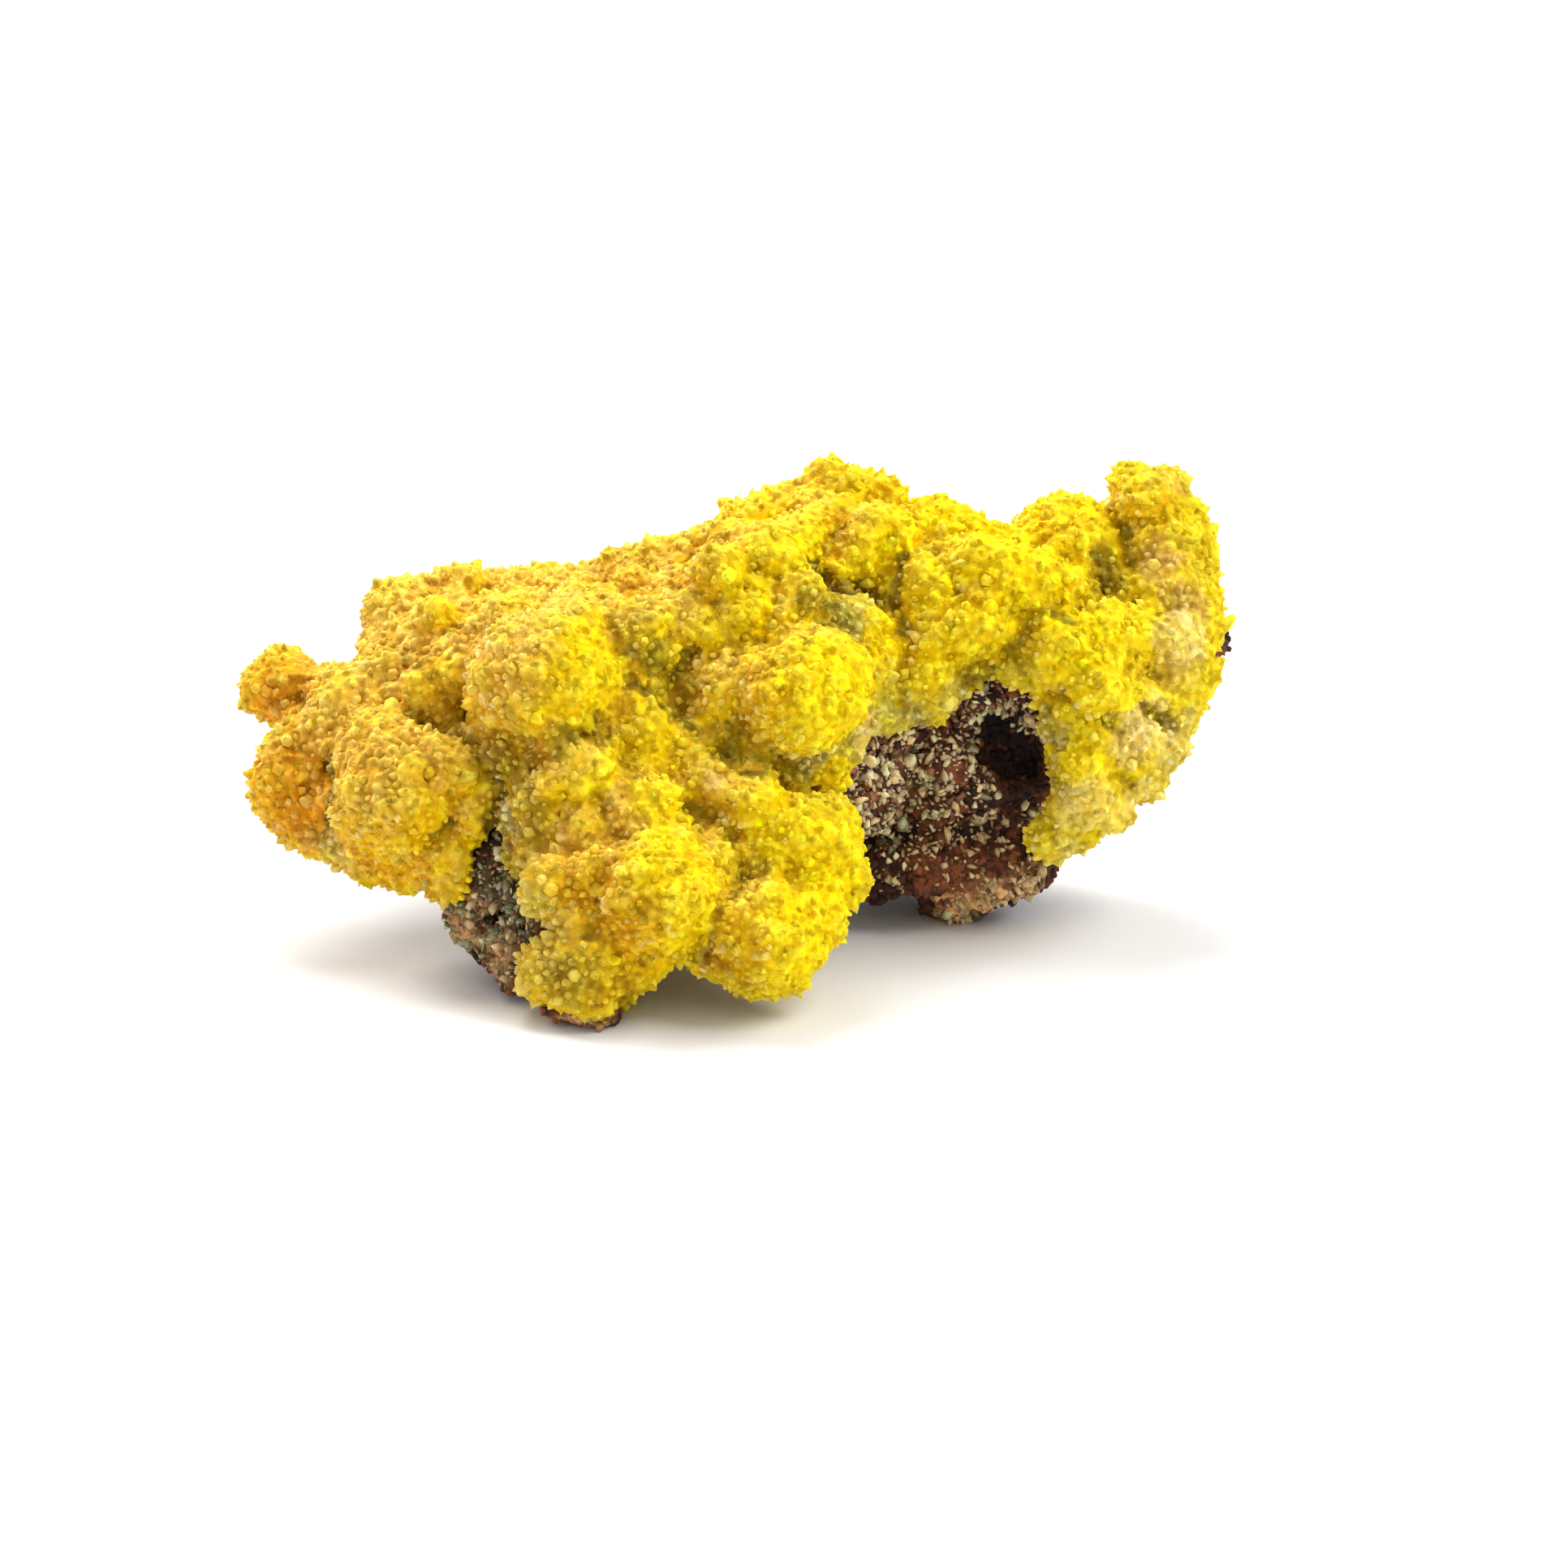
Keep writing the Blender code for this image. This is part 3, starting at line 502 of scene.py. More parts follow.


# ---------------------------------------------------------------- colours of the crust

# Patches of another colour, as (across, rise, reach, colour, strength), each laid over those before it on the
# surface that the display view shows. Lemon and honey patches are partly painted light, amber, olive and
# brown ones painted shade.
CRUST_PATCHES = [
    # left end
    (-25.6, 19.3, 2.9, "orange", 0.80), (-24.6, 13.2, 3.6, "orange", 0.80), (-22.4, 10.2, 1.3, "sage", 0.50),
    (-16.6, 13.4, 3.4, "amber", 0.22), (-18.2, 13.6, 2.2, "amber", 0.22), (-17.2, 11.0, 2.4, "amber", 0.15),
    (-20.6, 10.8, 2.0, "gold", 0.60), (-20.8, 15.4, 1.6, "amber", 0.35), (-15.3, 18.6, 0.9, "amber", 0.80),
    (-15.6, 23.6, 1.4, "lemon", 0.60), (-18.6, 24.4, 1.3, "honey", 0.50), (-16.3, 20.1, 1.6, "gold", 0.70),
    (-12.4, 15.2, 2.0, "olive", 0.75),
    # the lobes of the middle
    (-8.4, 22.0, 1.7, "lemon", 0.90), (-7.5, 20.0, 2.2, "lemon", 0.90), (-8.2, 18.4, 1.8, "lemon", 0.60),
    (-4.2, 20.8, 1.3, "olive", 0.85), (-5.3, 22.5, 1.5, "olive", 0.60), (-3.2, 19.3, 1.4, "olive", 0.75),
    (0.3, 16.2, 1.2, "olive", 0.75), (-7.3, 16.9, 1.0, "olive", 0.85), (-9.4, 16.3, 1.0, "olive", 0.70),
    (-1.6, 26.0, 1.5, "amber", 0.60), (-5.8, 24.6, 1.2, "amber", 0.50), (2.2, 26.2, 2.6, "lemon", 0.50),
    (1.2, 23.0, 1.7, "lemon", 0.90), (-4.4, 16.4, 2.2, "lemon", 0.75), (1.5, 19.2, 1.5, "amber", 0.60),
    (3.4, 18.4, 1.4, "amber", 0.40), (5.3, 19.4, 2.4, "lemon", 0.95), (4.8, 21.6, 1.6, "lemon", 0.90),
    (-0.9, 13.9, 0.9, "peach", 0.80), (-11.6, 12.8, 1.8, "olive", 0.50),
    # the near lobes
    (-8.5, 8.3, 1.8, "amber", 0.55), (-3.0, 9.4, 3.0, "lemon", 0.95), (-5.2, 6.2, 1.9, "amber", 0.55),
    (-1.6, 6.2, 1.7, "lemon", 0.80), (-3.9, 13.0, 1.8, "lemon", 0.90), (-7.6, 2.6, 2.2, "amber", 0.45),
    (-5.8, 1.8, 1.6, "olive", 0.35), (-7.3, 7.1, 0.35, "rust", 0.9), (-5.0, 3.9, 0.35, "rust", 0.9),
    (3.0, 11.4, 2.8, "lemon", 0.95), (5.0, 9.4, 2.4, "lemon", 0.90), (1.4, 8.9, 1.2, "olive", 0.65),
    (0.4, 5.0, 2.0, "amber", 0.45), (3.6, 7.0, 1.8, "lemon", 0.75), (-1.0, 3.6, 1.4, "olive", 0.35),
    (-11.2, 10.4, 1.2, "olive", 0.60), (-12.1, 8.8, 1.3, "olive", 0.85), (-12.5, 9.9, 1.0, "brown", 0.80),
    (-12.6, 11.9, 1.3, "sage", 0.80), (-11.0, 7.4, 1.0, "sage", 0.70), (-9.6, 3.0, 2.4, "green", 0.35),
    (-10.4, 6.4, 1.4, "green", 0.40), (-8.0, 2.0, 2.0, "olive", 0.30), (-4.6, 4.0, 2.0, "amber", 0.30),
    (-7.0, 9.4, 1.2, "amber", 0.40), (0.8, 3.2, 1.8, "amber", 0.35),
    # the ridge
    (5.4, 27.0, 0.8, "amber", 0.80), (8.6, 24.0, 1.0, "olive", 0.80), (4.6, 24.2, 1.0, "olive", 0.80),
    (6.3, 23.8, 1.9, "green", 0.85), (6.0, 24.4, 1.3, "olive", 0.50), (5.8, 28.5, 0.9, "amber", 0.60),
    (5.0, 30.8, 2.0, "gold", 0.35), (8.4, 29.9, 1.5, "gold", 0.60), (14.6, 26.2, 2.6, "lemon", 0.95),
    (13.7, 24.4, 1.0, "amber", 0.60), (11.0, 19.7, 1.6, "lemon", 0.90), (7.6, 21.0, 1.2, "lemon", 0.80),
    # round the hollow
    (9.0, 19.0, 1.6, "green", 0.90), (8.3, 17.6, 1.4, "green", 0.90), (6.4, 16.2, 1.3, "green", 0.85),
    (2.3, 15.1, 1.3, "green", 0.75), (3.6, 14.3, 1.4, "green", 0.90), (4.7, 15.0, 1.1, "sage", 0.90),
    (10.2, 17.4, 1.5, "sage", 0.90), (7.4, 16.2, 1.2, "sage", 0.85), (12.6, 18.8, 1.3, "sage", 0.90),
    (14.0, 20.1, 1.3, "olive", 0.85), (15.8, 20.1, 1.4, "green", 0.65), (16.4, 18.6, 1.6, "sage", 0.85),
    (17.9, 16.8, 1.4, "sage", 0.80), (18.5, 13.4, 1.5, "olive", 0.55), (17.2, 12.8, 1.3, "sage", 0.90),
    (16.1, 12.2, 0.9, "cream", 0.90), (18.5, 10.9, 1.8, "green", 0.60), (6.6, 22.9, 1.7, "sage", 0.50),
    (5.4, 25.0, 0.9, "brown", 0.70), (7.4, 24.6, 0.8, "brown", 0.60), (23.4, 17.6, 1.5, "cream", 0.70),
    (24.6, 16.0, 1.5, "cream", 0.60), (21.8, 10.8, 1.8, "cream", 0.50), (20.2, 13.2, 1.6, "cream", 0.45),
    (23.2, 13.0, 1.7, "cream", 0.55), (25.0, 20.4, 1.4, "cream", 0.50), (9.6, 19.8, 1.2, "straw", 0.50),
    (11.6, 18.3, 1.1, "straw", 0.60), (7.6, 16.9, 1.3, "cream", 0.75),
    # the right knob and the right end
    (18.3, 28.4, 1.5, "gold", 0.60), (20.8, 26.9, 0.9, "olive", 0.85), (21.1, 25.4, 1.4, "olive", 0.85),
    (23.0, 29.6, 2.6, "gold", 0.70), (24.2, 26.4, 1.5, "peach", 0.80), (25.6, 23.8, 1.6, "peach", 0.70),
    (25.5, 22.2, 1.8, "cream", 0.90), (27.4, 25.4, 1.5, "green", 0.60), (20.0, 22.3, 2.0, "lemon", 0.80),
    (19.8, 19.2, 2.2, "lemon", 0.30), (22.5, 16.4, 1.7, "cream", 0.80), (21.4, 17.3, 0.7, "olive", 0.80),
    (25.6, 17.4, 1.2, "olive", 0.50), (24.6, 14.8, 1.9, "sage", 0.45), (22.0, 13.6, 0.9, "olive", 0.60),
    (20.0, 15.2, 1.6, "lemon", 0.50), (21.6, 12.0, 1.6, "cream", 0.45), (18.9, 9.9, 1.4, "cream", 0.50),
    (23.6, 12.2, 1.5, "cream", 0.50), (19.3, 12.3, 1.8, "straw", 0.40), (19.5, 12.5, 1.8, "cream", 0.45),
    (22.5, 15.9, 1.4, "cream", 0.30), (25.4, 16.4, 1.5, "cream", 0.40), (-1.8, 8.9, 1.7, "gold", 0.50),
    (-8.6, 3.4, 2.0, "olive", 0.26), (24.5, 31.3, 1.6, "honey", 0.60),
]


# Lines of deep places between the lobes, as (reach, depth, [(across, rise), ...]).
CREVICES = [
    (0.60, 0.9, [(-6.0, 21.6), (-5.4, 19.6), (-4.1, 18.5), (-2.1, 17.0), (-0.1, 15.2), (1.7, 14.3)]),
    (0.55, 1.0, [(-17.8, 17.7), (-16.7, 17.1), (-14.4, 16.1), (-13.6, 15.1), (-12.9, 13.6), (-13.5, 11.3)]),
    (0.55, 1.3, [(-22.5, 15.1), (-22.2, 13.2), (-22.5, 11.7)]),
    (0.70, 2.4, [(4.9, 26.0), (5.3, 25.3), (6.6, 24.8), (7.5, 24.4)]),
    (0.55, 0.4, [(12.8, 20.2), (13.4, 19.4), (14.9, 20.6), (16.3, 21.7), (17.4, 23.6)]),
    (0.50, 1.1, [(20.6, 26.4), (21.1, 24.7)]),
    (0.50, 1.2, [(23.1, 18.3), (24.2, 17.3)]),
    (0.55, 0.5, [(-2.3, 12.6), (-0.8, 11.9), (0.5, 10.2), (0.3, 7.9), (-0.6, 6.4), (-1.9, 3.7)]),
    (0.40, 0.35, [(-10.5, 5.4), (-9.5, 3.3)]),
    (0.45, 0.6, [(9.6, 26.4), (9.2, 23.8), (10.2, 21.6)]), (0.40, 0.5, [(-8.2, 5.2), (-7.4, 5.6)]),
    (0.40, 0.6, [(-9.6, 16.4), (-7.2, 16.9), (-5.8, 17.6)]), (0.40, 0.5, [(3.8, 23.4), (4.3, 21.6)]),
    (0.45, 0.6, [(18.1, 23.5), (19.0, 22.9)]), (0.45, 0.6, [(-16.7, 10.8), (-15.6, 11.6)]),
    (0.80, 1.3, [(-12.7, 11.2), (-12.2, 9.8), (-11.8, 8.2), (-11.3, 6.6), (-10.9, 5.4)]),
    (0.40, 0.5, [(-19.0, 21.6), (-17.2, 20.2), (-14.6, 18.9)]), (0.45, 0.6, [(21.0, 17.4), (21.9, 16.6)]),
]


def crevice_lines(surface):
    """The crevices' pieces as (start, end, reach, depth) on the surface."""
    lines = []
    for reach, depth, line in CREVICES:
        spots = [seen_at(surface, *spot) for spot in line]
        lines += [(np.array(start), np.array(end), reach, depth)
                  for start, end in zip(spots, spots[1:]) if start is not None and end is not None]
    return lines


def into_crevice(points, lines):
    """How deep each point lies in the crevices."""
    ragged = 0.7 * mottle(points, 0.8, 6.0) + 0.4 * mottle(points, 2.0, 5.0)
    deep = np.zeros(len(points))
    for start, end, reach, depth in lines:
        along = end - start
        share = np.clip(((points - start) @ along) / (along @ along), 0, 1)
        distance = np.linalg.norm(points - start - share[:, None] * along, axis=1) / reach + ragged
        deep = np.maximum(deep, depth * (1 - ramp(distance, 0.1, 1.4)))
    return deep


def patch_centres(patches, surface):
    """The patches with their places on the surface, for those that the display view shows."""
    found = [(seen_at(surface, across, rise), *rest) for across, rise, *rest in patches]
    return [patch for patch in found if patch[0] is not None]


def palette_of(settings):
    """The settings' colours by name."""
    names = [name for name in settings.__annotations__ if len(np.atleast_1d(getattr(settings, name))) == 3]
    return {name: np.array(getattr(settings, name)) for name in names}


def lay_patches(colours, points, patches, palette):
    """The colours with each patch over those before it, its edge ragged."""
    ragged = 0.45 * mottle(points, 0.9) + 0.25 * mottle(points, 0.35, 4.0)
    for centre, reach, name, strength in patches:
        distance = np.linalg.norm(points - np.array(centre), axis=1) / reach + ragged
        colours = blend_colours(colours, palette[name], strength * (1 - ramp(distance, 0.55, 1.25)))
    return colours


# Painted shade at the crystals' feet, where they meet.
CRYSTAL_FOOT_SHADE = np.array((0.93, 0.82, 0.45))    # the yellow deepens to amber where crystals meet
# In these colours' patches the ground is darker, and the crystals on it stay paler. The olive, brown and
# amber entries are painted shade.
GROUND = {"sage": (0.34, 0.31, 0.12), "green": (0.46, 0.42, 0.05), "cream": (0.82, 0.68, 0.30),
          "peach": (0.70, 0.44, 0.16), "olive": (0.20, 0.145, 0.015), "amber": (0.56, 0.27, 0.006)}
TIPS = {"olive": (0.52, 0.44, 0.05), "brown": (0.26, 0.16, 0.025), "amber": (0.72, 0.42, 0.012),
        "sage": (0.72, 0.70, 0.40), "green": (0.72, 0.66, 0.10), "cream": (0.92, 0.77, 0.40)}


# Painted shade in hollows and crevices: what they turn into, as (colour, strength, depth at which it starts
# and is full).
HOLLOW_SHADE = (("deep", 0.65, 0.02, 0.30), ("olive", 0.65, 0.25, 0.70), ("brown", 0.70, 0.65, 1.30))
CREVICE_SHADE = (("olive", 0.80, 0.15, 0.60), ("brown", 0.75, 0.55, 1.20))


def crust_colours(settings, points, normals, hollow, changes):
    """Lemon as painted light where lobes face right, gold as painted shade where they face left, honey as
    painted light on the tops, painted shade in hollows, crevices and undersides, a painted highlight on
    convex rims, and the named patches.
    """
    palette = {**palette_of(settings), **changes}
    across = points[:, 0] - MIDDLE[0]
    slow = mottle(points, 5.0)
    # Painted light: more lemon towards the right, and where the surface faces right, towards the light.
    right_light = ramp(across / 17 + 1.0 * normals[:, 0] + 0.4 * slow, -1.3, 0.4)
    colours = blend_colours(np.tile(palette["gold"], (len(points), 1)), palette["lemon"], right_light)
    # Painted light on the tops, which face up, most at the left.
    top = 1.0 * normals[:, 2] - 0.5 * normals[:, 0]
    top_light = ramp(-across / 26 + top + 0.5 * mottle(points, 3.0, 7.0), 0.1, 1.5)
    colours = blend_colours(colours, palette["honey"], 0.85 * top_light)
    # Painted shade: a deeper yellow on the sides that face left, away from the light, and the first colour of
    # the hollows.
    deep = blend_colours(np.tile(palette["amber"], (len(points), 1)), palette["ochre"], right_light)
    shaded = ramp(-normals[:, 0] + 0.6 * mottle(points, 2.0, 1.0), 0.1, 1.1)
    colours = blend_colours(colours, deep, (0.45 - 0.20 * right_light) * shaded)
    colours = blend_colours(colours, palette["green"], 0.30 * ramp(across + 2 * slow, 16.0, 26.0))
    colours = lay_patches(colours, points, SKIN["patches"], palette)
    # Painted highlight: paler straw on the convex rims.
    colours = blend_colours(colours, palette["straw"], 0.35 * ramp(-hollow, 0.10, 0.45))
    palette["deep"] = deep
    crevice = into_crevice(points, SKIN["crevices"])
    # Painted shade, deeper as the hollows and crevices deepen.
    for depth, table in ((hollow, HOLLOW_SHADE), (crevice, CREVICE_SHADE)):
        for name, strength, low, high in table:
            colours = blend_colours(colours, palette[name], strength * ramp(depth, low, high))
    # Painted shade on the undersides, which face down.
    colours = blend_colours(colours, palette["olive"], 0.22 * ramp(-normals[:, 2], 0.40, 0.95))
    return colours * (1 + 0.08 * mottle(points, 1.6, 9.0))[:, None]


# ---------------------------------------------------------------- materials

def new_material(name):
    material = bpy.data.materials.new(name)
    material.use_nodes = True
    tree = material.node_tree
    return material, tree, tree.nodes["Principled BSDF"]


def noise_node(tree, scale, detail, roughness=0.5):
    """A noise in the piece's own coordinates; the scale is in lumps for each metre."""
    where = tree.nodes.new("ShaderNodeTexCoord")
    texture = tree.nodes.new("ShaderNodeTexNoise")
    texture.inputs["Scale"].default_value = scale
    texture.inputs["Detail"].default_value = detail
    texture.inputs["Roughness"].default_value = roughness
    tree.links.new(where.outputs["Object"], texture.inputs["Vector"])
    return texture


def ramp_node(tree, source, stops):
    node = tree.nodes.new("ShaderNodeValToRGB")
    elements = node.color_ramp.elements
    for element, (position, colour) in zip(elements, (stops[0], stops[-1])):
        element.position = position
        element.color = (*colour, 1)
    for position, colour in stops[1:-1]:
        elements.new(position).color = (*colour, 1)
    tree.links.new(source, node.inputs["Fac"])
    return node


def tinted(tree, shader, detail_colour):
    """Multiplies the stored tint by a finer pattern, for the base colour."""
    tint = tree.nodes.new("ShaderNodeVertexColor")
    tint.layer_name = "tint"
    mix = tree.nodes.new("ShaderNodeMix")
    mix.data_type = "RGBA"
    mix.blend_type = "MULTIPLY"
    mix.inputs["Factor"].default_value = 1
    tree.links.new(tint.outputs["Color"], mix.inputs["A"])
    tree.links.new(detail_colour, mix.inputs["B"])
    tree.links.new(mix.outputs["Result"], shader.inputs["Base Color"])


def bump(tree, shader, height, distance, strength):
    node = tree.nodes.new("ShaderNodeBump")
    node.inputs["Distance"].default_value = distance
    node.inputs["Strength"].default_value = strength
    tree.links.new(height, node.inputs["Height"])
    tree.links.new(node.outputs["Normal"], shader.inputs["Normal"])
    return node


def vector_math(tree, kind, first, second):
    """A vector sum or scaling; the second input is a socket, a vector or, for a scaling, a number."""
    node = tree.nodes.new("ShaderNodeVectorMath")
    node.operation = kind
    tree.links.new(first, node.inputs[0])
    if kind == "SCALE":
        node.inputs["Scale"].default_value = second
    elif isinstance(second, tuple):
        node.inputs[1].default_value = second
    else:
        tree.links.new(second, node.inputs[1])
    return node.outputs[0]


def facets(tree, size, tilt, normal):
    """A random colour for each small cell of that size in metres, and the normal tilted cell by cell."""
    where = tree.nodes.new("ShaderNodeTexCoord")
    cells = tree.nodes.new("ShaderNodeTexVoronoi")
    cells.inputs["Scale"].default_value = 1 / size
    tree.links.new(where.outputs["Object"], cells.inputs["Vector"])
    colour = cells.outputs["Color"]
    lean = vector_math(tree, "SCALE", vector_math(tree, "ADD", colour, (-0.5, -0.5, -0.5)), tilt)
    return colour, vector_math(tree, "ADD", normal, lean)


def mimetite_material(name, translucency):
    """Translucent, resinous yellow crystal whose colour comes from the stored tint."""
    material, tree, shader = new_material(name)
    fine = noise_node(tree, scale=2600, detail=3)
    surface = tree.nodes.new("ShaderNodeNewGeometry")
    cell, tilted = facets(tree, size=0.00036, tilt=0.9, normal=surface.outputs["Normal"])
    split = tree.nodes.new("ShaderNodeSeparateColor")
    tree.links.new(cell, split.inputs["Color"])
    # Each cell's random brightness is painted facet shading, on top of the tilted normal's shading.
    shades = ramp_node(tree, split.outputs["Red"],
                       [(0.0, (0.80, 0.76, 0.66)), (0.45, (0.96, 0.95, 0.92)), (1.0, (1.06, 1.06, 1.10))])
    tinted(tree, shader, shades.outputs["Color"])
    cloud = noise_node(tree, scale=1400, detail=2)
    gloss = ramp_node(tree, cloud.outputs["Fac"], [(0.35, (0.45,) * 3), (0.65, (0.62,) * 3)])
    tree.links.new(gloss.outputs["Color"], shader.inputs["Roughness"])
    raised = bump(tree, shader, fine.outputs["Fac"], distance=0.00006, strength=0.35)
    tree.links.new(tilted, raised.inputs["Normal"])
    shader.inputs["Specular IOR Level"].default_value = 0.03
    shader.inputs["Subsurface Weight"].default_value = translucency
    shader.inputs["Subsurface Radius"].default_value = (1.0, 0.72, 0.10)
    shader.inputs["Subsurface Scale"].default_value = 0.00028
    return material


def rock_material(name):
    """Earthy iron oxide rock: the stored tint broken by rust, dark grains and fine pits."""
    material, tree, shader = new_material(name)
    grain = noise_node(tree, scale=1900, detail=6, roughness=0.65)
    shades = ramp_node(tree, grain.outputs["Fac"],
                       [(0.32, (0.28, 0.22, 0.22)), (0.50, (0.85, 0.78, 0.72)), (0.68, (1.5, 1.15, 0.95))])
    tinted(tree, shader, shades.outputs["Color"])
    shader.inputs["Roughness"].default_value = 0.82
    shader.inputs["Specular IOR Level"].default_value = 0.35
    bump(tree, shader, grain.outputs["Fac"], distance=0.00025, strength=0.8)
    return material


def druse_material(name):
    """Glassy pale crystals."""
    material, tree, shader = new_material(name)
    cloud = noise_node(tree, scale=2200, detail=2)
    shades = ramp_node(tree, cloud.outputs["Fac"], [(0.3, (0.72, 0.70, 0.66)), (0.7, (1.0, 1.0, 1.0))])
    tinted(tree, shader, shades.outputs["Color"])
    shader.inputs["Roughness"].default_value = 0.22
    shader.inputs["IOR"].default_value = 1.6
    shader.inputs["Subsurface Weight"].default_value = 0.2
    shader.inputs["Subsurface Radius"].default_value = (1.0, 0.9, 0.7)
    shader.inputs["Subsurface Scale"].default_value = 0.0004
    return material


# ---------------------------------------------------------------- the pieces

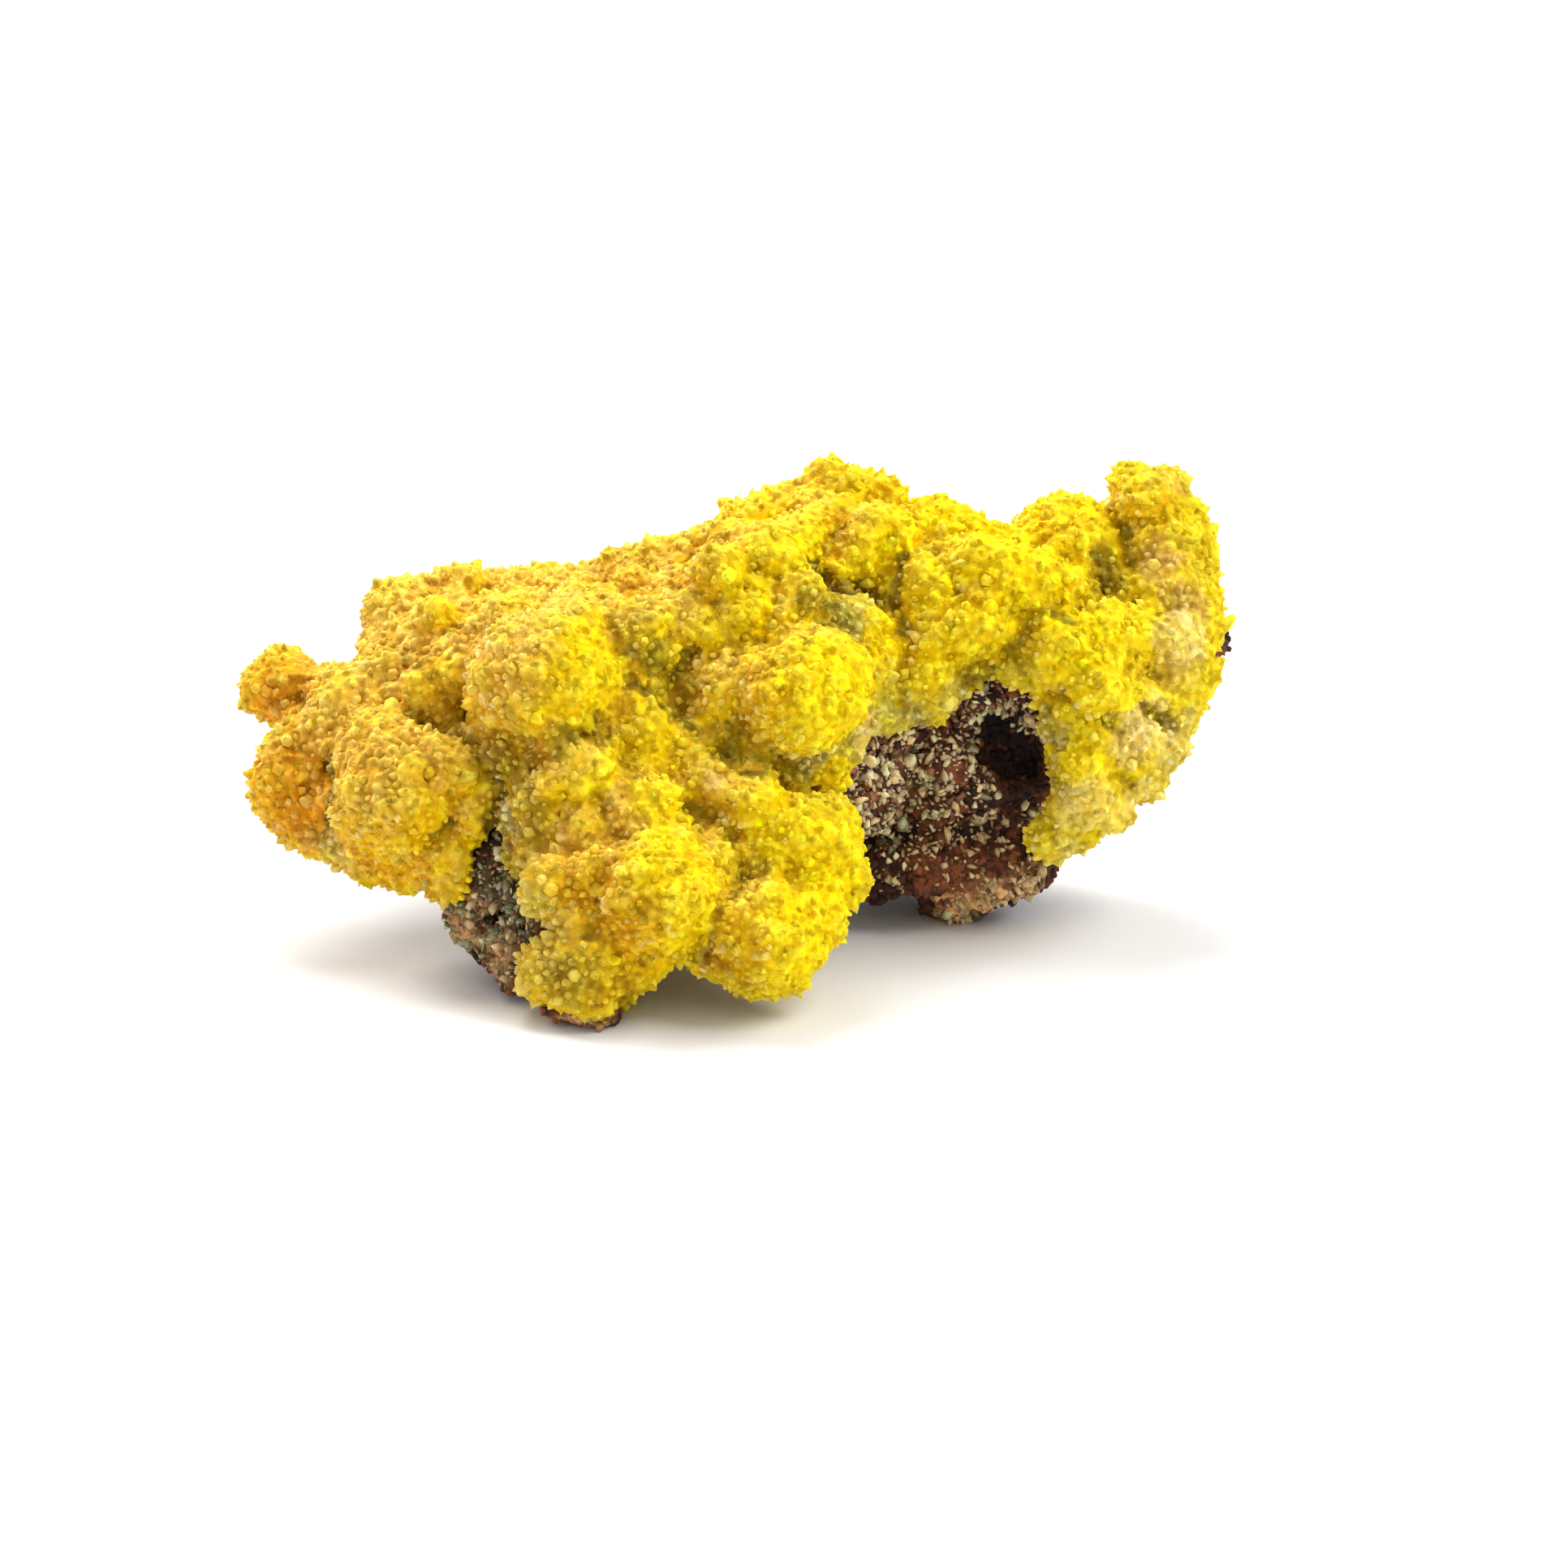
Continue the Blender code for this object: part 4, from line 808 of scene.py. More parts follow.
# The crust's lobes as (across, rise, depth, radius).
LOBES = [
    # near
    (-3.9, 7.7, 4.5, 4.2), (-7.8, 7.7, 5.0, 2.7), (-7.3, 10.7, 6.5, 1.8), (-4.3, 12.7, 7.0, 1.9),
    (-9.9, 3.5, 3.2, 2.0), (-7.2, 3.0, 2.5, 1.8), (-7.5, 4.8, 2.8, 1.8), (-4.8, 3.9, 2.8, 1.7),
    (1.8, 5.5, 4.0, 3.8), (5.1, 5.9, 5.0, 1.8), (4.9, 10.8, 7.0, 2.9), (6.3, 8.4, 6.5, 1.8),
    (1.1, 12.3, 8.0, 2.6), (2.7, 10.0, 6.5, 2.6), (-0.9, 14.3, 9.5, 2.0), (4.3, 8.0, 5.5, 2.3),
    (-8.4, 14.3, 8.5, 2.3), (-10.4, 12.7, 8.5, 2.1), (-11.1, 10.0, 8.0, 1.6), (-10.5, 7.7, 7.0, 1.4),
    (-6.4, 13.4, 8.0, 1.5), (-4.8, 17.0, 11.5, 2.1), (-2.5, 15.7, 11.0, 2.0), (-1.3, 16.6, 12.0, 1.2),
    (-6.8, 15.9, 10.0, 1.6),
    # left
    (-18.2, 13.0, 11.0, 4.1), (-19.1, 16.1, 12.5, 2.4), (-15.5, 14.5, 10.8, 2.5), (-14.1, 12.7, 10.5, 1.9),
    (-20.9, 13.0, 11.5, 2.2), (-20.9, 10.5, 11.3, 1.9), (-18.2, 9.5, 10.8, 2.0), (-15.5, 9.1, 10.0, 2.0),
    (-14.8, 8.0, 9.8, 1.4), (-19.5, 9.2, 11.0, 1.4), (-24.8, 13.6, 14.5, 2.6), (-24.0, 15.9, 15.5, 2.2),
    (-23.6, 11.6, 13.5, 1.9), (-22.7, 10.7, 13.0, 1.2), (-25.5, 19.3, 19.5, 2.25), (-23.4, 19.5, 19.0, 1.5),
    (-21.4, 18.2, 16.0, 2.3), (-19.3, 19.3, 16.5, 2.2), (-16.4, 19.3, 15.0, 2.1), (-22.3, 19.1, 18.0, 1.9),
    (-17.3, 17.7, 14.0, 1.6), (-19.8, 21.8, 21.0, 1.6), (-19.1, 23.5, 22.0, 1.9), (-17.7, 24.3, 23.0, 1.8),
    (-15.5, 24.9, 23.5, 1.8), (-13.6, 24.5, 23.5, 1.6), (-15.9, 23.2, 21.0, 1.5), (-17.3, 21.8, 19.5, 1.8),
    (-14.8, 21.8, 18.5, 1.9), (-18.6, 20.7, 18.0, 1.8),
    # middle
    (-10.2, 19.3, 12.5, 4.5), (-8.4, 22.5, 15.5, 2.3), (-12.3, 22.0, 16.0, 2.5), (-7.0, 21.4, 14.5, 1.6),
    (-14.3, 20.5, 15.5, 2.2), (-11.8, 24.8, 23.0, 1.4), (-11.1, 25.7, 24.0, 0.9), (-9.1, 24.5, 22.0, 1.7),
    (-11.8, 23.6, 19.5, 1.8), (-3.2, 24.1, 18.5, 2.1), (-5.2, 23.4, 18.5, 1.8), (-2.3, 21.8, 17.0, 1.6),
    (-4.1, 21.4, 17.0, 1.4), (-3.4, 19.1, 14.5, 1.5), (-5.5, 25.0, 20.0, 1.6), (0.2, 22.8, 15.5, 2.2),
    (1.4, 23.2, 15.3, 1.8), (3.9, 18.5, 11.5, 3.6), (0.0, 18.9, 12.5, 2.2), (6.0, 20.7, 13.0, 1.7),
    (1.8, 16.8, 11.5, 1.8), (2.5, 15.0, 12.5, 1.5), (3.6, 21.4, 13.5, 1.8),
    # ridge
    (2.3, 26.0, 18.5, 2.85), (0.2, 26.4, 19.5, 2.2), (3.4, 23.5, 17.0, 1.6), (-6.3, 25.9, 22.0, 1.8),
    (-3.9, 26.4, 22.0, 1.8), (-1.9, 26.8, 22.0, 1.8), (0.0, 28.4, 23.0, 1.5), (1.6, 29.3, 24.0, 1.5),
    (3.3, 29.9, 24.5, 1.5), (5.5, 30.9, 25.0, 1.65), (7.0, 30.4, 24.5, 1.6), (8.6, 30.5, 24.5, 1.45),
    (4.5, 28.4, 21.0, 1.3), (6.6, 29.5, 23.0, 1.6), (8.0, 28.0, 21.0, 2.0), (7.4, 26.6, 20.0, 1.6),
    (9.3, 27.5, 21.0, 1.5), (11.8, 28.8, 23.0, 1.75), (13.5, 28.2, 22.5, 1.6), (14.8, 27.4, 22.0, 1.4),
    (11.4, 27.4, 21.5, 1.5), (14.8, 25.5, 18.5, 2.5), (16.9, 25.2, 18.5, 2.0), (18.6, 24.8, 19.0, 1.5),
    (12.7, 26.4, 20.0, 1.6), (16.8, 23.6, 17.5, 1.4), (6.5, 23.0, 16.5, 1.9), (11.1, 24.8, 18.5, 1.9),
    (13.4, 22.4, 16.5, 2.1), (11.4, 22.0, 16.5, 1.6), (9.5, 22.0, 17.0, 1.3), (11.1, 19.5, 15.5, 1.65),
    (8.4, 21.1, 15.5, 1.2), (8.4, 18.6, 15.5, 1.4), (9.8, 23.6, 18.5, 1.5), (14.5, 20.5, 17.0, 1.2),
    (7.2, 17.5, 14.0, 1.4), (9.0, 17.3, 15.0, 1.2), (6.6, 15.7, 12.8, 1.1), (11.2, 18.0, 16.0, 1.2),
    (13.2, 19.2, 17.0, 1.2), (7.6, 19.9, 14.5, 1.3),
    # right
    (18.5, 28.3, 24.0, 1.6), (16.3, 27.4, 25.0, 1.2), (18.2, 26.4, 21.5, 1.9), (19.8, 25.7, 21.0, 1.5),
    (20.0, 28.6, 24.5, 1.2), (23.3, 29.9, 24.0, 2.3), (24.6, 30.7, 24.5, 1.6), (25.5, 29.9, 24.5, 1.0),
    (24.3, 28.0, 23.0, 2.2), (26.1, 27.5, 23.5, 1.7), (27.3, 26.1, 23.5, 1.1), (24.5, 25.2, 21.0, 2.2),
    (26.5, 24.1, 21.5, 1.6), (26.8, 28.6, 24.0, 1.1), (21.6, 25.0, 22.0, 1.5), (18.6, 21.3, 16.5, 2.3),
    (21.0, 21.6, 17.0, 2.0), (20.5, 18.9, 15.0, 2.2), (16.8, 20.0, 16.5, 1.3), (22.9, 21.8, 18.5, 1.9),
    (25.0, 21.6, 19.0, 1.9), (25.4, 19.3, 18.5, 1.9), (24.3, 17.7, 17.5, 1.7), (20.0, 15.8, 14.5, 1.9),
    (19.5, 14.3, 14.5, 1.7), (22.3, 15.5, 15.5, 2.0), (24.0, 15.7, 16.5, 1.7), (23.4, 14.1, 16.0, 1.4),
    (19.0, 12.3, 14.5, 1.9), (21.0, 12.6, 15.0, 1.7), (17.8, 10.8, 14.5, 1.6), (19.6, 11.0, 14.5, 1.4),
    (22.3, 17.7, 16.0, 1.8), (18.2, 17.3, 15.5, 1.4), (26.8, 22.3, 20.0, 1.2),
]


# Small lobes that grew over the rock where the display view shows them, as (across, rise, radius).
OVERGROWTH = [
    (-1.6, 11.7, 1.1), (-0.8, 10.6, 0.9), (0.6, 9.4, 0.9), (-10.8, 9.9, 1.1), (-10.4, 8.8, 0.9),
    (-10.2, 7.9, 0.8), (21.5, 24.1, 1.0), (21.3, 25.2, 0.8), (21.0, 22.9, 0.9), (4.8, 13.9, 0.8),
    (5.5, 13.7, 0.8), (4.0, 14.0, 0.8), (6.1, 14.2, 0.7), (3.6, 14.9, 0.9), (4.4, 14.5, 0.9),
    (5.2, 14.2, 0.8), (5.4, 15.0, 0.9), (4.5, 15.6, 0.8), (6.3, 15.2, 0.7), (23.8, 19.9, 0.8),
    (-9.4, 1.9, 0.9), (-8.3, 1.3, 0.7), (-7.2, 1.2, 0.7), (-6.2, 1.5, 0.8), (-5.4, 2.1, 0.9),
]

# The crust's bands, from left to right, each between two places across.
BANDS = {
    "left": (-40.0, -12.4), "left_middle": (-12.4, 0.4), "right_middle": (0.4, 12.2), "right": (12.2, 40.0),
}

# Grids in millimetres on which the skin is made anew: from the CAD solid, with the lobes, with each size of
# nodules, and when its creases are deepened. The last is the grid of the druse's bed.
SOLID_GRID, LOBE_GRID, NODULE_GRID, SKIN_GRID, DRUSE_BED_GRID = 0.38, 0.36, 0.27, 0.29, 0.18
NODULES = ((1.0, 0.60), (0.5, 0.36))    # sizes, and how far they stand proud
CREASE_DEEPENING = 0.60                 # share of a crease's depth that is added to it
END_DRAWN_IN = 0.12                     # how much lower a band lies where it ends inside the next
HIDDEN_THINNING = 0.85                  # share of the hidden faces that is taken out
FUSED_SCALE = 0.9                       # size of the fused crystals, as a share of the single ones'
FUSED_SUNK = 0.50                       # share of a fused crystal's length that lies in the skin
NEAR_TIP = 0.8                          # where on its length, from the foot, a crystal's shade is taken
PALE_SHARE = 0.30                       # share of the fused crystals that have a paler tip
OVERGROWTH_SUNK = 0.35                  # share of a small lobe's radius by which its middle lies sunk
OVERGROWTH_REACH = 1.1                  # how near a small lobe the rock counts as covered

SKIN = {}    # the skin's surface, patches and crystals, from one operator to the next


class SPECIMEN_OT_crust(bpy.types.Operator):
    """Adds the lobed crust in place of the plain one, its small crystals fused into it"""

    bl_idname = "specimen.crust"
    bl_label = "Crust"

    def execute(self, context):
        settings = context.scene.crust_settings
        rng = np.random.default_rng(settings.seed)
        rock = tree_of(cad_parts["matrix"])
        skin = self.model_skin(settings, rng, rock)
        surface = Surface(skin)
        SKIN.update(surface=surface, tree=tree_of(skin))
        far = away_from(rock, 0.5, overgrowth=True)
        points, normals, hollow = surface.scatter(rng, settings.crystal_spacing / MM, far)
        shapes, kinds, turns = grow_crystals(settings, rng, points, normals, hollow, FUSED_SCALE)
        feet = points - turns[:, :, 2] * FUSED_SUNK
        self.note_tips(rng, feet + turns[:, :, 2] * NEAR_TIP)
        material = mimetite_material("mimetite", translucency=0.5)
        for name, (low, high) in BANDS.items():
            band = self.cut_band(skin, name, low, high)
            here = (feet[:, 0] >= low) & (feet[:, 0] < high)
            crystals = joined_copies("crystals", shapes, kinds[here], feet[here], turns[here])
            pick(band)
            crystals.select_set(True)
            bpy.ops.object.join()
            fuse(band, settings.grid)
            self.thin_hidden(band, rock, low, high)
            self.colour_band(band, settings)
            band.data.materials.append(material)
            add_piece(band, "mimetite_crust", "mimetite_crust")
        bpy.data.objects.remove(skin)
        return {"FINISHED"}

    def note_tips(self, rng, tips):
        """Keeps each fused crystal's place, shade and paleness for the colours."""
        places = KDTree(len(tips))
        for number, tip in enumerate(tips.tolist()):
            places.insert(tip, number)
        places.balance()
        shades = np.exp(rng.normal(0, 0.11, len(tips)))
        paleness = (rng.random(len(tips)) < PALE_SHARE) * rng.random(len(tips))
        SKIN.update(tips=places, shades=shades, paleness=paleness)

    def model_skin(self, settings, rng, rock):
        """The crust without its crystals: lobes, nodules and crevices."""
        skin = copy_of_node("mimetite_crust", "crust_skin")
        fuse(skin, SOLID_GRID * MM)
        depth = settings.crystal_depth / MM
        self.draw_in(skin, rock, depth)
        over = self.overgrowth(skin, rock)
        SKIN.update(over=np.array(over))
        lobes = np.array([(*place(*lobe[:3]), lobe[3] - depth) for lobe in LOBES] + over)
        lobes[:, 2] = np.maximum(lobes[:, 2], lobes[:, 3] + 0.5)
        add_balls(skin, lobes[:, :3], lobes[:, 3])
        fuse(skin, LOBE_GRID * MM)
        for scale, proud in NODULES:
            far = away_from(rock, 0.7 + 0.4 * scale)
            points, normals, _ = Surface(skin).scatter(rng, scale * settings.nodule_spacing / MM, far)
            radii = scale * settings.nodule_radius / MM * np.exp(rng.normal(0, 0.30, len(points)))
            proud = proud * rng.uniform(0.3, 1.1, len(points))
            add_balls(skin, points - normals * (radii - proud)[:, None], radii)
            fuse(skin, NODULE_GRID * MM)
        surface = tree_of(skin)
        SKIN.update(patches=patch_centres(CRUST_PATCHES, surface), crevices=crevice_lines(surface))
        self.deepen_creases(skin)
        self.deepen_crevices(skin)
        relief(skin, "sugar", "CLOUDS", 0.5 * MM, 0.28 * MM)
        fuse(skin, SKIN_GRID * MM)
        return skin

    def overgrowth(self, skin, rock):
        """The small lobes over the rock, as (x, y, z, radius), each partly sunk in what it grows on."""
        both = (tree_of(skin), rock)
        over = []
        for across, rise, radius in OVERGROWTH:
            hits = [seen_at(tree, across, rise) for tree in both]
            hits = [hit for hit in hits if hit is not None]
            if hits:
                nearest = min(hits, key=lambda hit: (hit - EYE).length)
                over.append((*(nearest - BACK * OVERGROWTH_SUNK * radius), radius))
        return over

    def deepen_creases(self, skin):
        """Draws the creases between the lobes further in."""
        surface = Surface(skin)
        further = CREASE_DEEPENING * np.clip(surface.hollow, 0, 0.8)
        move_vertices(skin, (surface.points - surface.normals * further[:, None]) * MM)

    def deepen_crevices(self, skin):
        """Presses the named crevices into the skin, away from the viewer."""
        points = vertices_of(skin) / MM
        points -= into_crevice(points, SKIN["crevices"])[:, None] * np.array(BACK)[None, :]
        move_vertices(skin, points * MM)

    def draw_in(self, skin, rock, most):
        """Moves the skin inwards to make room for its crystals, less where the crust is thin."""
        points = vertices_of(skin)
        normals = array_of(skin.data.vertices, "normal", 3)
        distance = np.array([(rock.find_nearest(Vector(p))[3] or 0) / MM for p in points.tolist()])
        amount = np.clip((distance - 0.8) * 0.6, 0, most)[:, None] * MM
        move_vertices(skin, points - normals * amount)

    def cut_band(self, skin, name, low, high):
        """The skin from one side to the other, its ends drawn in so that they lie inside the next band."""
        band = skin.copy()
        band.data = skin.data.copy()
        band.name = f"crust_{name}"
        bpy.context.scene.collection.objects.link(band)
        bpy.ops.mesh.primitive_cube_add(size=1, location=((low + high) / 2 * MM, 0, 0.02))
        box = bpy.context.object
        box.scale = ((high - low + 2) * MM, 0.1, 0.1)
        bpy.context.view_layer.update()
        modify(band, "BOOLEAN", operation="INTERSECT", solver="EXACT", object=box)
        bpy.data.objects.remove(box)
        points = vertices_of(band)
        normals = array_of(band.data.vertices, "normal", 3) * np.array((0, 1, 1))
        inwards = END_DRAWN_IN * MM * ramp(outside(points, low, high), 0.0, 0.3)
        move_vertices(band, points - normals * inwards[:, None])
        return band

    def thin_hidden(self, band, rock, low, high):
        """Makes larger faces where the crust lies on the rock or ends inside its neighbour."""
        points = vertices_of(band)
        hidden = np.array([rock.find_nearest(Vector(p), 0.45 * MM)[0] is not None for p in points.tolist()])
        hidden &= ~near_overgrowth(points / MM)
        hidden |= outside(points, low, high) > 0.4
        group = band.vertex_groups.new(name="hidden")
        group.add(np.flatnonzero(hidden).tolist(), 1.0, "REPLACE")
        ratio = 1 - HIDDEN_THINNING * hidden.mean()
        modify(band, "DECIMATE", ratio=ratio, vertex_group="hidden", vertex_group_factor=10.0)
        band.vertex_groups.clear()

    def colour_band(self, band, settings):
        """Paints the ground of small fused crystals, from the colour of the skin below them, with painted
        shade at their feet and a painted highlight on their tips.
        """
        points = vertices_of(band) / MM
        normals, hollow, height = above_skin(points)
        colours = crust_colours(settings, points, normals, hollow, GROUND)
        # Painted shade at the feet of the fused crystals.
        foot = 1.25 * (1 - ramp(height, -0.05, 0.28))
        colours *= 1 - foot[:, None] * (1 - CRYSTAL_FOOT_SHADE)
        crystal = np.array([SKIN["tips"].find(p)[1] for p in points.tolist()])
        # Painted highlight on the tips: straw where they face the light, cream where they face away, and
        # partly each crystal's own random paleness.
        left = facing_left(normals)
        pale = blend_colours(np.tile(settings.straw, (len(points), 1)), settings.cream, left)
        share = (0.22 + 0.14 * left + 0.8 * SKIN["paleness"][crystal]) * ramp(height, 0.08, 0.42)
        colours = blend_colours(colours * SKIN["shades"][crystal][:, None], pale, share)
        paint(band, colours)


def outside(points, low, high):
    """How far each point lies outside the band, in millimetres."""
    return np.maximum(low - points[:, 0] / MM, points[:, 0] / MM - high)


def above_skin(points):
    """The skin's normal and hollow nearest each point, and the point's height above it in millimetres."""
    surface, tree = SKIN["surface"], SKIN["tree"]
    near = [tree.find_nearest(Vector(p) * MM) for p in points.tolist()]
    faces = np.array([hit[2] for hit in near])
    corners = surface.polygons[faces]
    away = points - np.array([hit[0] for hit in near]) / MM
    flat = np.array([hit[1] for hit in near])
    return surface.normals[corners], surface.hollow[corners], (away * flat).sum(axis=1)


def facing_left(normals):
    """From 0 to 1 where the surface faces left and down, away from the main light."""
    return ramp(-normals[:, 0] - 0.5 * normals[:, 2], -0.5, 0.9)


# Shapes of crystals, as (sides, foot's width, level of the tip's foot, width of its end, flatness).
CRYSTALS = (
    (5, 0.9, 0.42, 0.0, 1.0), (4, 0.9, 0.38, 0.0, 1.0), (4, 0.9, 0.60, 0.4, 0.8), (6, 0.9, 0.55, 0.25, 1.0),
)
CRYSTAL_SHARES = (0.24, 0.18, 0.30, 0.28)
CHIPS = ((3, 0.8, 0.6, 0.5, 0.8), (4, 0.9, 0.7, 0.6, 0.35), (5, 0.8, 0.5, 0.1, 0.6), (4, 0.9, 0.5, 0.3, 0.5))


def grow_crystals(settings, rng, points, normals, hollow, scale):
    """Shapes, and for each place a shape's number and matrix."""
    shapes = [model_crystal(*form) for form in CRYSTALS]
    count = len(points)
    kinds = rng.choice(len(shapes), count, p=CRYSTAL_SHARES)
    size = scale * np.exp(rng.normal(0, 0.16, count)) * (1 + 0.25 * mottle(points, 0.9, 2.0))
    size *= 1 - 0.15 * ramp(hollow, 0.10, 0.60)
    widths = settings.crystal_radius / MM * size * rng.uniform(0.85, 1.2, count)
    heights = settings.crystal_height / MM * size * rng.uniform(0.75, 1.15, count)
    return shapes, kinds, leaning_frames(rng, normals, settings.crystal_lean, widths, heights)


class SPECIMEN_OT_crystals(bpy.types.Operator):
    """Adds the sharper single crystals that stand out of the crust"""

    bl_idname = "specimen.crystals"
    bl_label = "Mimetite crystals"

    def execute(self, context):
        settings = context.scene.crust_settings
        rng = np.random.default_rng(settings.seed + 1)
        rock = tree_of(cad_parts["matrix"])

        far = away_from(rock, 0.3, overgrowth=True)
        points, normals, hollow = SKIN["surface"].scatter(rng, settings.tip_spacing / MM, far)
        facing = normals[:, 0] + 0.5 * normals[:, 2] + 1.2 * mottle(points, 1.6, 12.0)
        kept = rng.random(len(points)) > 0.65 * ramp(facing, -0.1, 1.1)
        points, normals, hollow = points[kept], normals[kept], hollow[kept]
        count = len(points)
        scale = 0.86 * np.exp(rng.normal(0, 0.18, count))
        shapes, kinds, turns = grow_crystals(settings, rng, points, normals, hollow, scale)
        feet = points - turns[:, :, 2] * rng.uniform(0.32, 0.54, count)[:, None]
        colours = crust_colours(settings, points, normals, hollow, TIPS)
        colours *= np.exp(rng.normal(0, 0.10, count))[:, None]
        # The tips are a painted highlight, straw on the sides that face the light and cream on the others,
        # with a random share for each crystal.
        left = facing_left(normals)
        pale = blend_colours(colours, settings.straw, 0.6 * (1 - left))
        pale = blend_colours(pale, settings.cream, 0.60 * left)
        tip_share = (0.2 + 0.4 * left) * rng.random(count) + 0.8 * (rng.random(count) < 0.10 + 0.25 * left)
        material = mimetite_material("mimetite_tips", translucency=0.0)
        middle = np.median(points[:, 0])
        for name, here in (("left", points[:, 0] < middle), ("right", points[:, 0] >= middle)):
            piece = joined_copies(f"crystals_{name}", shapes, kinds[here], feet[here], turns[here])
            paint_copies(piece, shapes, kinds[here], colours[here], pale[here], tip_share[here], CRYSTAL_FOOT_SHADE)
            piece.data.materials.append(material)
            add_piece(piece, "mimetite_crust")
        return {"FINISHED"}


class SPECIMEN_OT_rock(bpy.types.Operator):
    """Adds the craggy matrix and its coarse grains in place of the plain rock"""

    bl_idname = "specimen.rock"
    bl_label = "Rock matrix"

    def execute(self, context):
        settings = context.scene.rock_settings
        rock = self.model_rock(settings)
        surface = Surface(rock)
        patches = patch_centres(ROCK_PATCHES, tree_of(rock))
        paint(rock, rock_colours(settings, surface.points, surface.hollow, patches))
        material = rock_material("gossan")
        rock.data.materials.append(material)
        add_piece(rock, "matrix", "matrix")
        grains = self.strew_grains(settings, surface, patches)
        grains.data.materials.append(material)
        add_piece(grains, "matrix")
        return {"FINISHED"}

    def model_rock(self, settings):
        """The rock with the lumps of its rim, its crags and its pits."""
        rock = copy_of_node("matrix", "rock")
        lumps = np.array([(*place(*lump[:3]), lump[3]) for lump in ROCK_LUMPS])
        add_balls(rock, lumps[:, :3], lumps[:, 3])
        fuse(rock, settings.grid)
        modify(rock, "SMOOTH", factor=0.5, iterations=2)
        relief(rock, "crags", "CLOUDS", settings.crag_size, settings.crag_height)
        relief(rock, "pits", "VORONOI", settings.crag_size * 0.6, settings.crag_height * 0.5)
        press_flat(rock)
        return rock

    def strew_grains(self, settings, surface, patches):
        """Coarse grains, half sunk in the rock where no crust lies on it."""
        rng = np.random.default_rng(settings.seed)
        crust = tree_of(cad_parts["mimetite_crust"])

        def in_the_open(points, normals, hollow):
            return away_from(crust, 0.35)(points + normals * 0.3, normals, hollow) & (points[:, 2] > 0.35)

        points, normals, hollow = surface.scatter(rng, settings.grain_spacing / MM, in_the_open)
        count = len(points)
        shapes = [model_grain(seed) for seed in (1, 2, 3)]
        kinds = rng.integers(0, len(shapes), count)
        widths = settings.grain_radius / MM * np.exp(rng.normal(0, 0.3, count))
        turns = leaning_frames(rng, normals, math.radians(90), widths, widths * rng.uniform(0.7, 1.2, count))
        colours = rock_colours(settings, points, hollow, patches)
        rusty = rng.random(count) < 0.22
        colours[rusty] = blend_colours(colours[rusty], settings.rust, np.full(rusty.sum(), 0.7))
        colours *= rng.uniform(0.55, 1.35, count)[:, None]
        grains = joined_copies("rock_grains", shapes, kinds, points, turns)
        paint_copies(grains, shapes, kinds, colours)
        return grains


# Lumps on the rock's rim, in the same form as the crust's lobes.
ROCK_LUMPS = [
    (-15.0, 6.6, 9.2, 0.8), (-14.4, 5.9, 9.0, 0.9), (-13.6, 5.1, 8.4, 0.9), (-12.9, 4.3, 7.8, 0.9),
    (-12.3, 3.5, 6.8, 0.8), (-11.8, 2.8, 5.6, 0.7), (-12.3, 5.2, 7.4, 1.0), (-11.4, 4.4, 6.2, 0.9),
]

# Patches of the rock, in the same form as the crust's.
ROCK_PATCHES = [
    # The first tan patches, along the lower lip, are partly painted light on its lit top.
    (10.6, 6.6, 1.5, "tan", 0.95), (12.4, 7.0, 1.5, "tan", 0.95), (14.4, 7.4, 1.5, "tan", 0.95),
    (16.2, 8.0, 1.5, "tan", 0.95), (13.4, 8.8, 1.5, "rust", 0.80), (15.6, 9.2, 1.3, "rust", 0.70),
    # The black patches are painted shade in the depths of the hollow and of the gap at the left.
    (11.0, 8.6, 1.5, "rust", 0.60), (12.5, 5.6, 1.5, "tan", 0.40), (15.6, 15.2, 1.6, "black", 0.55),
    (14.6, 17.2, 1.3, "black", 0.85), (16.4, 13.6, 1.2, "black", 0.50), (10.6, 12.6, 1.6, "rust", 0.50),
    (12.0, 9.8, 2.0, "rust", 0.50), (-12.9, 10.4, 1.2, "black", 0.95), (-12.4, 8.2, 2.4, "moss", 0.85),
    (-11.6, 6.0, 2.2, "moss", 0.85), (-14.2, 6.4, 1.6, "moss", 0.60), (-14.6, 6.2, 1.6, "tan", 0.45),
    (-13.2, 4.8, 1.6, "tan", 0.45), (-12.4, 3.6, 1.4, "tan", 0.25), (28.0, 22.6, 1.4, "tan", 0.35),
    (-8.2, 0.5, 1.6, "tan", 0.40),
]


def rock_colours(settings, points, hollow, patches):
    """Dark brown rock, with redder grains, named patches, and painted shade, nearly black, in its hollows."""
    palette = palette_of(settings)
    colours = np.tile(palette["brown"], (len(points), 1))
    colours = blend_colours(colours, palette["rust"], 0.55 * ramp(mottle(points, 1.6, 2.0), 0.0, 0.45))
    colours = lay_patches(colours, points, patches, palette)
    return blend_colours(colours, palette["black"], 0.7 * ramp(hollow, 0.1, 0.5))


BED_BRIGHTNESS = 1.2           # how much brighter the rock of the hollow is than the open rock
LEAST_DENSITY = (0.25, 0.0)    # density of the pale crystals between their spots, on the bed and on the rock
CHIP_SUNK = 0.25               # share of a pale crystal's length that lies in what it grows on


